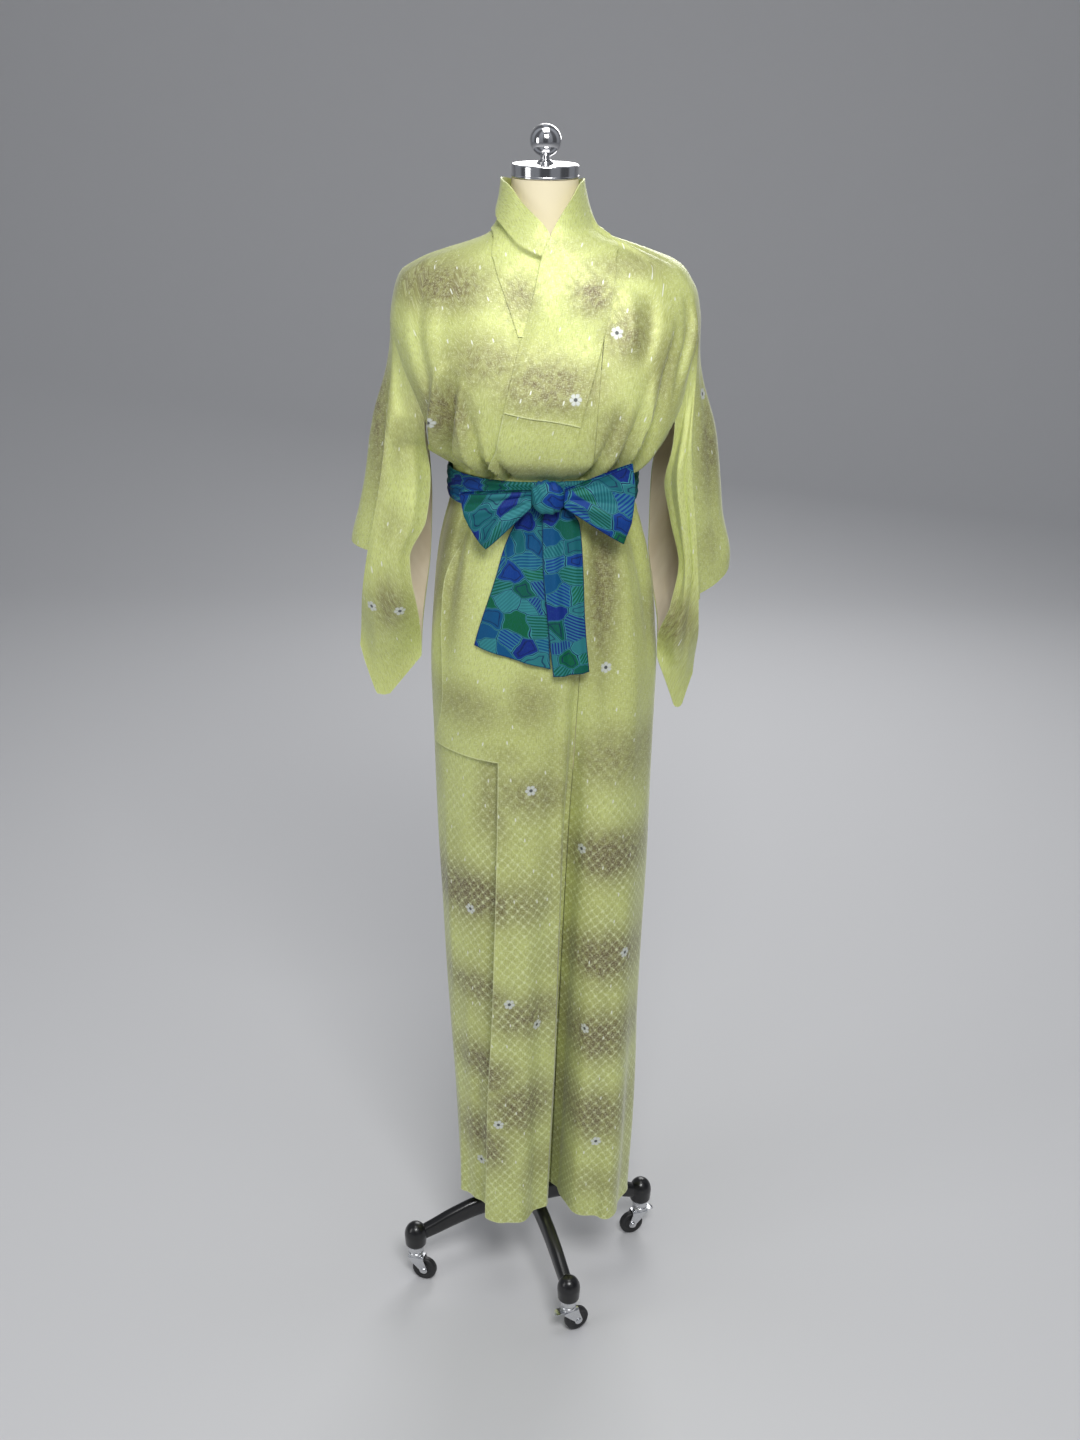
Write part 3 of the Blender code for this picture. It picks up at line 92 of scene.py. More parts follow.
# Robe sections by height: half widths to the wearer's right and left of the pole, depths to the
# front and back, and squareness of the oval (1 is an ellipse, less is boxier).
robeShape = table(
    "z      right  left   front  back   square",
    (0.150, 0.112, 0.152, 0.098, 0.104, 1.00),
    (0.310, 0.119, 0.159, 0.105, 0.108, 1.00),
    (0.490, 0.130, 0.162, 0.112, 0.115, 1.00),
    (0.670, 0.139, 0.165, 0.117, 0.122, 1.00),
    (0.840, 0.147, 0.168, 0.121, 0.130, 1.00),
    (0.950, 0.150, 0.169, 0.124, 0.135, 0.98),
    (1.060, 0.153, 0.169, 0.125, 0.135, 0.96),
    (1.155, 0.149, 0.162, 0.118, 0.121, 0.95),
    (1.240, 0.137, 0.147, 0.107, 0.100, 0.95),
    (1.275, 0.129, 0.136, 0.101, 0.091, 0.95),
    (1.305, 0.122, 0.128, 0.098, 0.087, 0.95),
    (1.356, 0.122, 0.128, 0.098, 0.087, 0.94),
    (1.370, 0.140, 0.146, 0.114, 0.099, 0.88),
    (1.388, 0.163, 0.162, 0.128, 0.107, 0.82),
    (1.415, 0.169, 0.176, 0.134, 0.110, 0.78),
    (1.450, 0.178, 0.190, 0.132, 0.110, 0.75),
    (1.500, 0.195, 0.200, 0.120, 0.107, 0.74),
    (1.548, 0.204, 0.210, 0.104, 0.099, 0.76),
    (1.586, 0.199, 0.205, 0.090, 0.090, 0.80),
    (1.610, 0.190, 0.193, 0.081, 0.082, 0.86),
    (1.620, 0.176, 0.186, 0.077, 0.078, 0.90),
    (1.630, 0.157, 0.172, 0.073, 0.074, 0.94),
    (1.640, 0.130, 0.147, 0.069, 0.069, 0.97),
    (1.650, 0.099, 0.118, 0.065, 0.064, 1.00),
    (1.660, 0.075, 0.087, 0.061, 0.059, 1.00),
    (1.672, 0.062, 0.067, 0.057, 0.055, 1.00),
    (1.690, 0.055, 0.058, 0.053, 0.052, 1.00),
    (1.710, 0.050, 0.052, 0.050, 0.050, 1.00),
    (1.732, 0.0475, 0.0480, 0.0475, 0.0475, 1.00),
    (1.760, 0.0470, 0.0475, 0.0470, 0.0470, 1.00),
)

# Folds by row: heights and angles of the fold's low and high ends, its half width in degrees, and how far
# it is pushed in there (out where negative). Angles run from the front centre, + to the wearer's left.
foldColumns = "lowZ highZ lowAngle highAngle width lowDepth highDepth"
backFolds = (
    (0.15, 1.18, 150, 146, 12, 0.030, 0.000),
    (0.15, 1.10, -152, -146, 13, 0.026, 0.000),
    (0.15, 1.00, 118, 122, 12, -0.014, 0.000),
    (0.15, 1.00, -176, 178, 11, -0.014, 0.000),
    (1.37, 1.52, 160, 150, 10, 0.012, 0.000),
    (1.37, 1.52, -158, -148, 10, 0.011, 0.000),
)
chestFolds = (
    (1.37, 1.56, 46, 60, 9, 0.011, 0.003),
    (1.37, 1.47, -50, -60, 12, 0.008, 0.000),
    (1.37, 1.48, 62, 70, 6, -0.006, 0.000),
)
outerFolds = table(
    foldColumns,
    (0.15, 1.22, 13, 20, 12, 0.068, 0.003),
    (0.15, 1.05, 56, 48, 18, -0.040, 0.000),
    (0.15, 1.05, -24, -14, 16, -0.024, 0.000),
    (0.15, 1.00, 82, 78, 10, -0.012, 0.000),
    *chestFolds,
    *backFolds,
)
underFolds = table(
    foldColumns,
    (0.15, 1.22, 14, 20, 34, 0.074, 0.003),
    (0.15, 0.90, -62, -58, 12, 0.010, 0.000),
    *chestFolds,
    *backFolds,
)
noFolds = table(foldColumns, (0.15, 1.22, 13, 20, 12, 0.0, 0.0))
foldFade = 0.018       # a fold that starts above the hem fades in over this height

# Front edges by height, as distances from the pole in the front view, + to the wearer's left.
# Wearer's left front: where the collar's free edge and seam run, and the front edge of the overlap.
leftCollar = table(
    "z      free    seam",
    (0.953, -0.1440, -0.0535),
    (0.985, -0.1370, -0.0480),
    (1.030, -0.1310, -0.0375),
    (1.082, -0.1330, -0.0260),
    (1.126, -0.1340, -0.0155),
    (1.190, -0.1300, -0.0030),
    (1.240, -0.1160, 0.0060),
    (1.305, -0.0860, 0.0170),
    (1.356, -0.0700, 0.0285),
    (1.388, -0.0625, 0.0360),
    (1.458, -0.0470, 0.0530),
    (1.518, -0.0330, 0.0690),
    (1.580, -0.0150, 0.0830),
    (1.636, -0.0030, 0.0900),
)
# Wearer's right front, which the left one covers from the crossing down.
rightCollar = table(
    "z      free    seam",
    (0.953, 0.1150, 0.0900),
    (1.030, 0.1150, 0.0840),
    (1.126, 0.1120, 0.0720),
    (1.240, 0.1060, 0.0520),
    (1.305, 0.0960, 0.0400),
    (1.356, 0.0950, 0.0260),
    (1.388, 0.1000, 0.0180),
    (1.458, 0.0900, 0.0000),
    (1.518, 0.0720, -0.0180),
    (1.580, 0.0430, -0.0410),
    (1.636, 0.0180, -0.0640),
)
# The collar's way round the neck, as angles and heights of its sewn and free edges on the left side.
neckCollar = table(
    "seamAngle seamZ freeAngle freeZ",
    (58, 1.6520, 7, 1.6680),
    (72, 1.6600, 30, 1.7055),
    (90, 1.6640, 60, 1.7275),
    (112, 1.6640, 92, 1.7320),
    (136, 1.6610, 128, 1.7270),
    (158, 1.6600, 156, 1.7200),
    (179.6, 1.6590, 179.6, 1.7180),
)
neckRightCollar = table(
    "seamAngle seamZ freeAngle freeZ",
    (-52, 1.6560, 5, 1.6660),
    (-70, 1.6630, -30, 1.7060),
    (-90, 1.6650, -60, 1.7275),
    (-112, 1.6640, -92, 1.7320),
    (-136, 1.6610, -128, 1.7270),
    (-158, 1.6600, -156, 1.7200),
    (-179.6, 1.6590, -179.6, 1.7180),
)
okumiEdge = table(
    "z      left    right",
    (0.150, -0.0640, 0.0850),
    (0.390, -0.0605, 0.0850),
    (0.565, -0.0555, 0.0860),
    (0.730, -0.0535, 0.0870),
    (0.952, -0.0530, 0.0890),
)
# Seam between body and overlap above the waist; its last row is where it meets the collar's seam.
leftOkumiSeam = table(
    "z      x",
    (1.305, 0.0560),
    (1.356, 0.0655),
    (1.388, 0.0685),
    (1.484, 0.0745),
    (1.566, 0.0804),
)
rightOkumiSeam = table(
    "z      x",
    (1.305, -0.0180),
    (1.356, -0.0130),
    (1.388, -0.0120),
    (1.430, -0.0110),
    (1.488, -0.0090),
)
okumiTop = {"left": 1.548, "right": 1.458}
rightOkumiSeamX = -0.0440

# Side opening under the arm: angles of its front and back edges by height.
armholeTop = 1.548
underarm = 1.430
slitBottom = 1.340
armhole = table(
    "z      rightFront leftFront back",
    (1.300, 82, 82, 98),
    (1.340, 80, 81, 100),
    (1.370, 77, 81, 103),
    (1.385, 69, 79, 109),
    (1.400, 60, 74, 114),
    (1.415, 58, 72, 116),
    (1.430, 60, 73, 114),
    (1.500, 70, 75, 108),
    (1.548, 75, 75, 105),
)

# Sleeves: one row for each height. Distances from the pole to the inner edge and the crease of the front
# layer, to the top fold and to the back layer's edges, and depths of the edges (- is the front).
sleeveColumns = "z inner innerY crease creaseY fold backCrease backCreaseY backInner backInnerY"
sleeveShape = {
    "right": table(
        sleeveColumns,
        (1.000, 0.168, -0.018, 0.260, -0.018, 0.262, 0.260, 0.004, 0.170, 0.004),
        (1.060, 0.168, -0.040, 0.259, -0.034, 0.261, 0.257, 0.016, 0.168, 0.022),
        (1.100, 0.169, -0.056, 0.255, -0.046, 0.260, 0.252, 0.028, 0.166, 0.034),
        (1.170, 0.173, -0.066, 0.2475, -0.056, 0.262, 0.246, 0.040, 0.160, 0.046),
        (1.236, 0.178, -0.070, 0.237, -0.062, 0.264, 0.240, 0.050, 0.156, 0.056),
        (1.290, 0.155, -0.064, 0.226, -0.064, 0.252, 0.230, 0.056, 0.155, 0.060),
        (1.340, 0.150, -0.050, 0.217, -0.064, 0.241, 0.220, 0.058, 0.157, 0.058),
        (1.390, 0.154, -0.038, 0.210, -0.062, 0.234, 0.213, 0.057, 0.163, 0.052),
    ),
    "left": table(
        sleeveColumns,
        (1.000, 0.168, -0.048, 0.2185, -0.026, 0.222, 0.2185, -0.012, 0.170, -0.036),
        (1.060, 0.167, -0.056, 0.2215, -0.038, 0.228, 0.2225, 0.006, 0.170, -0.032),
        (1.100, 0.167, -0.060, 0.2225, -0.050, 0.234, 0.2245, 0.022, 0.171, -0.010),
        (1.170, 0.184, -0.056, 0.2200, -0.062, 0.262, 0.230, 0.044, 0.163, 0.036),
        (1.225, 0.1935, -0.050, 0.2165, -0.068, 0.267, 0.236, 0.052, 0.156, 0.050),
        (1.290, 0.179, -0.050, 0.2105, -0.070, 0.252, 0.236, 0.058, 0.156, 0.056),
        (1.350, 0.168, -0.050, 0.2035, -0.068, 0.245, 0.228, 0.060, 0.158, 0.058),
        (1.390, 0.1735, -0.046, 0.2010, -0.065, 0.240, 0.222, 0.059, 0.162, 0.052),
    ),
}
# Heights of each sleeve's lower corners: inner corner, lowest edge and cuff corner, and the shares of the
# way from the inner corner to the crease between which the lowest edge lies.
sleeveCorners = {
    "right": {"inner": 1.071, "tip": 1.011, "cuff": 1.087, "tipPlace": (0.50, 0.60, 0.72)},
    "left": {"inner": 1.085, "tip": 1.006, "cuff": 1.052, "tipPlace": (0.56, 0.68, 0.78)},
}
cuffHeight = {"right": 1.238, "left": 1.180}
cuffRise = {"right": 0.004, "left": 0.032}      # how much higher the cuff is at the top fold

# Bow loops in the front view: distance to the wearer's left and height of each corner.
loopCorners = {
    "right": {"knotHigh": (-0.0121, 1.3470), "knotLow": (-0.0121, 1.3240),
              "tipHigh": (-0.1060, 1.3420), "tipLow": (-0.0720, 1.2660)},
    "left": {"knotHigh": (0.0321, 1.3480), "knotLow": (0.0321, 1.3250),
             "tipHigh": (0.1200, 1.3850), "tipLow": (0.1120, 1.2760)},
}
# Hanging ends by height: their edges in the front view.
wideTail = table(
    "z      left    right",
    (1.124, -0.0840, 0.0170),
    (1.145, -0.0790, 0.0150),
    (1.216, -0.0580, 0.0110),
    (1.267, -0.0440, 0.0080),
    (1.318, -0.0220, 0.0090),
)
narrowTail = table(
    "z      left    right",
    (1.088, 0.0205, 0.0675),
    (1.171, 0.0110, 0.0600),
    (1.241, 0.0045, 0.0560),
    (1.296, 0.0030, 0.0500),
    (1.318, 0.0060, 0.0380),
)

# Dress form sections by height: half width, depths to the front and back.
formShape = table(
    "z      half   front  back",
    (0.925, 0.126, 0.090, 0.104),
    (0.935, 0.135, 0.097, 0.113),
    (0.960, 0.140, 0.100, 0.119),
    (1.030, 0.144, 0.104, 0.125),
    (1.100, 0.142, 0.103, 0.120),
    (1.180, 0.132, 0.096, 0.102),
    (1.270, 0.112, 0.086, 0.078),
    (1.340, 0.113, 0.092, 0.080),
    (1.400, 0.126, 0.112, 0.088),
    (1.450, 0.136, 0.121, 0.094),
    (1.500, 0.146, 0.110, 0.096),
    (1.548, 0.164, 0.093, 0.090),
    (1.586, 0.180, 0.079, 0.082),
    (1.610, 0.1830, 0.0710, 0.0780),
    (1.620, 0.1720, 0.0680, 0.0750),
    (1.630, 0.1545, 0.0650, 0.0715),
    (1.640, 0.1280, 0.0620, 0.0670),
    (1.650, 0.0970, 0.0590, 0.0620),
    (1.660, 0.0690, 0.0540, 0.0570),
    (1.672, 0.0540, 0.0500, 0.0520),
    (1.690, 0.0465, 0.0465, 0.0475),
    (1.710, 0.0450, 0.0445, 0.0450),
    (neckTop, neckRadius, neckRadius, neckRadius),
)

# Leg sections from the hub to the caster cup: distance from the pole, height, width and depth.
legShape = table(
    "reach  z      width  height",
    (0.008, 0.1220, 0.0200, 0.0340),
    (0.045, 0.1225, 0.0200, 0.0340),
    (0.090, 0.1165, 0.0200, 0.0325),
    (0.130, 0.1050, 0.0200, 0.0295),
    (0.165, 0.0915, 0.0195, 0.0255),
    (0.192, 0.0820, 0.0185, 0.0220),
)


bodyCells = {"left": (44, 10, 40), "right": (38, 10, 34)}     # back, armhole and front columns
okumiCells = {"left": 26, "right": 22}
collarCells = {"left": (20, 0.0056), "right": (44, 0.0026)}     # cells across, and their length along
# The right collar is turned outwards above this line: angle to the wearer's right and height of its fold,
# how far it stands off there, and how deep the cloth below is drawn in.
turnedOut = table(
    "angle z      out     sunk",
    (-30, 1.628, 0.0000, 0.0000),
    (-8, 1.634, 0.0028, 0.0002),
    (0, 1.638, 0.0038, 0.0006),
    (20, 1.651, 0.0048, 0.0008),
    (45, 1.667, 0.0060, 0.0008),
    (70, 1.681, 0.0070, 0.0006),
    (92, 1.697, 0.0062, 0.0002),
    (130, 1.718, 0.0024, 0.0000),
    (180, 1.740, 0.0000, 0.0000),
)
sleeve = {
    "layerCells": 24, "stripCells": 30, "upperCells": 50, "lowerCells": 40,
    "tipRound": 0.0025,
    "cuffSlant": 0.012,
    "swell": 0.010, "swellReach": 0.12,     # the layers stand apart by this much more in their middle
    "edgeApart": 0.0021, "closeFrom": 1.5, "settleRows": 3.0,
    "under": (0.004, 0.011), "underReach": 0.03,    # the strip beside the crease starts this far in and behind it
    "liningRows": (5, 4),   # rows of the sleeve left bare of lining above and below
}
# Sleeve creases: first and last row (0 at the armhole, 7 at the cuff, 13 at the lower edge), place across
# there (0 and 1 are the inner edges of the front and back layers), half width across and depth.
sleeveCreases = {
    "right": (
        (0.4, 12.0, 0.10, 0.07, 0.030, 0.0030),
        (1.2, 13.5, 0.19, 0.16, 0.034, -0.0034),
        (0.8, 9.0, 0.27, 0.26, 0.026, 0.0024),
        (3.0, 12.5, 0.36, 0.31, 0.022, -0.0020),
        (0.5, 6.8, 0.47, 0.45, 0.030, 0.0026),
        (1.0, 7.5, 0.56, 0.58, 0.028, -0.0026),
        (0.8, 11.0, 0.70, 0.72, 0.030, 0.0030),
        (1.5, 12.6, 0.80, 0.84, 0.028, -0.0034),
        (2.0, 10.0, 0.91, 0.92, 0.026, 0.0022),
    ),
    "left": (
        (0.5, 12.2, 0.07, 0.05, 0.026, -0.0028),
        (0.3, 12.6, 0.16, 0.13, 0.026, 0.0046),
        (0.9, 11.5, 0.24, 0.21, 0.026, -0.0044),
        (2.5, 13.0, 0.33, 0.30, 0.024, 0.0028),
        (0.5, 7.2, 0.45, 0.43, 0.028, -0.0026),
        (1.2, 7.8, 0.55, 0.57, 0.030, 0.0030),
        (0.8, 10.0, 0.68, 0.70, 0.028, -0.0030),
        (1.4, 12.8, 0.79, 0.82, 0.030, 0.0034),
        (2.4, 11.0, 0.90, 0.91, 0.024, -0.0024),
    ),
}
sash = {
    "wall": 0.0012, "bandLow": 1.311, "bandHigh": 1.354, "bandOut": 0.0050, "bandBelly": 0.0008,
    "bandSag": 0.0012, "bandCells": 220, "bandRows": 26,
    # place across, drift, turns round the waist, phase, half width and depth of each pleat
    "bandPleats": ((0.20, 0.05, 2, 0.10, 0.10, 0.0013), (0.45, 0.06, 3, 0.45, 0.09, 0.0015),
                   (0.68, 0.05, 2, 0.80, 0.08, 0.0014), (0.88, 0.04, 3, 0.25, 0.07, 0.0012)),
}
knot = {
    "centre": (0.0100, -0.1190, 1.3380), "half": (0.0220, 0.0140, 0.0210), "cells": 96, "rows": 64,
    "tucks": ((-0.55, 0.26, 0.10), (-0.12, 0.24, 0.12), (0.30, 0.22, 0.10), (0.66, 0.18, 0.08)),
    "fan": 0.018,
}
loop = {
    "y": -0.1205, "deep": 0.0105, "neck": 0.30, "bulge": 0.008, "wave": 0.003, "round": 0.75,
    "cells": 110, "rows": 42,
    # place across at the knot and at the tip, half width and height of each pleat
    "pleats": {
        "right": ((0.20, 0.10, 0.06, 0.0022), (0.40, 0.33, 0.05, -0.0022), (0.55, 0.60, 0.06, 0.0028),
                  (0.72, 0.80, 0.05, -0.0018), (0.86, 0.95, 0.06, 0.0018)),
        "left": ((0.18, 0.08, 0.06, -0.0020), (0.35, 0.27, 0.06, 0.0028), (0.52, 0.50, 0.05, -0.0024),
                 (0.68, 0.74, 0.06, 0.0024), (0.84, 0.92, 0.05, -0.0016)),
    },
    "print": {"right": (0.31, 0.12), "left": (1.13, 0.42)},
}
tails = {
    "rows": 70, "cells": 34, "slantReach": 0.06, "waveReach": 0.10,
    # place across at the top and the bottom, half width, depth and how much of it goes by the bottom
    "wide": {"edges": wideTail, "out": 0.0082, "slant": -0.026, "wave": 0.003, "printAt": (2.2, 0.3),
             "pleats": ((0.20, 0.12, 0.07, 0.0020, 0.5), (0.42, 0.40, 0.06, -0.0022, 0.6),
                        (0.60, 0.66, 0.07, 0.0026, 0.6), (0.84, 0.90, 0.06, -0.0014, 0.4))},
    "narrow": {"edges": narrowTail, "out": 0.0112, "slant": 0.005, "wave": 0.003, "printAt": (3.4, 0.9),
               "pleats": ((0.25, 0.30, 0.10, 0.0020, 0.4), (0.50, 0.46, 0.08, -0.0024, 0.7),
                          (0.78, 0.82, 0.09, 0.0018, 0.5))},
}
form = {"sides": 160}
base = {"legRings": 40, "legSides": 40, "legSquare": 0.72}
fork = {"gap": 0.0146, "plate": 0.0016, "trail": 0.0150, "end": 0.0066, "low": 0.0430,
        "reach": (-0.0110, 0.0150), "turns": (200, 60, -15, 30), "braked": (0, 3)}
wheel = {"sides": 96}

# Brown dye and some painted shade, front and back: place in the front view, half width, half height and strength of
# each patch.
brownSpots = {
    True: table(
        "x z wide high strength",
        (-0.095, 0.725, 0.060, 0.034, 0.95), (-0.062, 0.885, 0.022, 0.060, 0.50),
        (-0.005, 0.905, 0.055, 0.030, 0.60), (-0.020, 0.728, 0.048, 0.032, 0.55),
        (0.104, 0.798, 0.052, 0.034, 0.95), (0.108, 0.955, 0.056, 0.040, 0.60),
        (0.104, 0.628, 0.052, 0.036, 0.95), (-0.080, 0.565, 0.044, 0.024, 0.75),
        (-0.072, 0.428, 0.040, 0.028, 0.85), (-0.075, 0.290, 0.036, 0.036, 0.85),
        (-0.010, 0.535, 0.052, 0.030, 0.75), (-0.018, 0.370, 0.048, 0.040, 0.80),
        (0.100, 0.490, 0.050, 0.038, 0.90), (0.095, 0.345, 0.048, 0.040, 0.85),
        (0.015, 0.250, 0.030, 0.030, 0.35), (0.110, 0.215, 0.040, 0.024, 0.40),
        (0.087, 1.205, 0.020, 0.095, 0.75), (-0.118, 1.215, 0.020, 0.070, 0.40),
        (-0.095, 1.030, 0.050, 0.026, 0.45), (-0.008, 1.045, 0.030, 0.030, 0.45),
        (0.060, 1.110, 0.020, 0.040, 0.35), (-0.040, 0.960, 0.020, 0.016, 0.30),
        (-0.135, 1.604, 0.066, 0.026, 0.80), (-0.032, 1.595, 0.022, 0.024, 0.70),
        # The second patch here, under the right chest's deep fold, is brown dye and painted shade of that fold.
        (-0.072, 1.512, 0.050, 0.030, 0.60), (-0.128, 1.446, 0.036, 0.042, 0.75),
        (0.064, 1.598, 0.026, 0.024, 0.80), (0.008, 1.486, 0.064, 0.034, 0.75),
        (0.110, 1.550, 0.028, 0.032, 0.70), (0.100, 1.630, 0.060, 0.014, 0.50),
        (0.096, 1.424, 0.024, 0.036, 0.55), (0.160, 1.500, 0.018, 0.045, 0.45),
        (-0.020, 1.372, 0.060, 0.012, 0.40), (0.020, 1.655, 0.040, 0.012, 0.30),
        # The first patch here lies on the right sleeve's outer strip: painted shade where that strip is in shadow.
        (-0.222, 1.450, 0.014, 0.100, 0.75), (-0.208, 1.165, 0.022, 0.036, 0.65),
        (-0.186, 1.395, 0.022, 0.036, 0.35), (-0.200, 1.280, 0.018, 0.030, 0.30),
        (0.232, 1.400, 0.018, 0.065, 0.70), (0.190, 1.145, 0.030, 0.036, 0.70),
        (0.205, 1.540, 0.018, 0.030, 0.45), (0.235, 1.255, 0.014, 0.030, 0.35),
    ),
    False: table(
        "x z wide high strength",
        (-0.080, 0.840, 0.060, 0.034, 0.90), (0.085, 0.900, 0.060, 0.036, 0.85),
        (0.030, 0.745, 0.050, 0.030, 0.80), (-0.100, 0.655, 0.045, 0.034, 0.85),
        (0.110, 0.650, 0.044, 0.036, 0.90), (-0.010, 0.560, 0.055, 0.032, 0.80),
        (0.080, 0.480, 0.046, 0.034, 0.85), (-0.085, 0.450, 0.042, 0.034, 0.85),
        (0.005, 0.370, 0.050, 0.034, 0.80), (-0.070, 0.280, 0.040, 0.032, 0.80),
        (0.090, 0.290, 0.050, 0.034, 0.80), (0.010, 0.205, 0.050, 0.022, 0.50),
        (-0.060, 1.060, 0.060, 0.034, 0.55), (0.070, 1.100, 0.050, 0.036, 0.55),
        (0.000, 1.220, 0.060, 0.030, 0.45), (-0.110, 1.220, 0.030, 0.030, 0.40),
        (0.110, 1.610, 0.070, 0.024, 0.75), (-0.110, 1.600, 0.070, 0.026, 0.75),
        (0.010, 1.540, 0.070, 0.036, 0.60), (0.090, 1.460, 0.050, 0.034, 0.60),
        (-0.090, 1.440, 0.050, 0.034, 0.65), (0.000, 1.400, 0.050, 0.020, 0.45),
        (-0.222, 1.400, 0.020, 0.080, 0.60), (-0.200, 1.150, 0.030, 0.040, 0.70),
        (0.225, 1.430, 0.020, 0.080, 0.60), (0.205, 1.180, 0.030, 0.040, 0.70),
        (0.060, 1.700, 0.060, 0.016, 0.40),
    ),
}
dyeAndShade = {"wide": 1.30, "high": 1.30, "strength": 1.12, "power": 1.25}
flowerSize = {"radius": 0.0078, "heart": 0.0024, "reach": 0.016}
# Flowers: piece, place in the front view, turn, and whether it is on the front.
flowerPlaces = (
    ("bodyLeft", 0.0973, 1.5511, 0.3, True), ("overCollarLeft", 0.0432, 1.4713, 1.1, True),
    ("sleeveLeft", 0.2183, 1.4551, 2.0, True), ("bodyLeft", 0.0939, 1.0915, 2.6, True),
    ("sleeveRight", -0.2325, 1.1602, 0.7, True), ("sleeveRight", -0.1922, 1.1550, 1.9, True),
    ("okumiLeft", -0.0059, 0.9106, 0.1, True), ("bodyLeft", 0.0687, 0.8042, 1.5, True),
    ("bodyRight", -0.0949, 0.6966, 2.2, True), ("bodyLeft", 0.1350, 0.6309, 0.9, True),
    ("okumiLeft", -0.0347, 0.5618, 2.9, True), ("okumiLeft", 0.0048, 0.5169, 1.3, True),
    ("bodyLeft", 0.0790, 0.4999, 0.5, True), ("okumiLeft", -0.0504, 0.3408, 2.4, True),
    ("bodyRight", -0.0790, 0.2349, 1.7, True), ("bodyLeft", 0.1020, 0.2980, 0.8, True),
    ("bodyRight", -0.1500, 1.4300, 1.2, True), ("bodyLeft", -0.0001, 0.9300, 0.4, False),
    ("bodyLeft", 0.0900, 0.8600, 1.0, False), ("bodyRight", -0.0900, 0.8000, 2.3, False),
    ("bodyLeft", 0.1200, 0.6100, 1.8, False), ("bodyRight", -0.0500, 0.6000, 0.6, False),
    ("bodyLeft", 0.0500, 0.5200, 2.7, False), ("bodyRight", -0.1000, 0.4100, 1.4, False),
    ("bodyLeft", 0.0300, 0.3500, 0.2, False), ("bodyRight", -0.0400, 0.2500, 2.1, False),
    ("bodyLeft", 0.1000, 0.2400, 1.6, False), ("bodyRight", -0.0700, 1.1400, 0.9, False),
    ("bodyLeft", 0.0800, 1.5000, 2.5, False), ("bodyRight", -0.0900, 1.5500, 1.1, False),
    ("bodyLeft", 0.0200, 1.4300, 0.3, False), ("sleeveLeft", 0.2150, 1.2200, 2.2, False),
    ("sleeveRight", -0.2100, 1.3300, 1.7, False), ("sleeveRight", -0.1900, 1.1200, 0.8, False),
    ("sleeveLeft", 0.1950, 1.4000, 2.8, False),
)
pieceNodes = {
    "bodyLeft": "body_left", "bodyRight": "body_right", "okumiLeft": "okumi_left", "okumiRight": "okumi_right",
    "collarLeft": "collar_left", "collarRight": "collar_right", "overCollarLeft": "over_collar_left",
    "overCollarRight": "over_collar_right", "sleeveLeft": "sleeve_left", "sleeveRight": "sleeve_right",
    "liningLeft": "sleeve_lining_left", "liningRight": "sleeve_lining_right", "sashBand": "sash_band",
    "sashKnot": "sash_knot", "bowLoopLeft": "bow_loop_left", "bowLoopRight": "bow_loop_right",
    "sashTailWide": "sash_tail_wide", "sashTailNarrow": "sash_tail_narrow", "formTorso": "form_torso",
    "neckCap": "neck_cap", "finialBall": "finial", "chromePole": "pole",
}

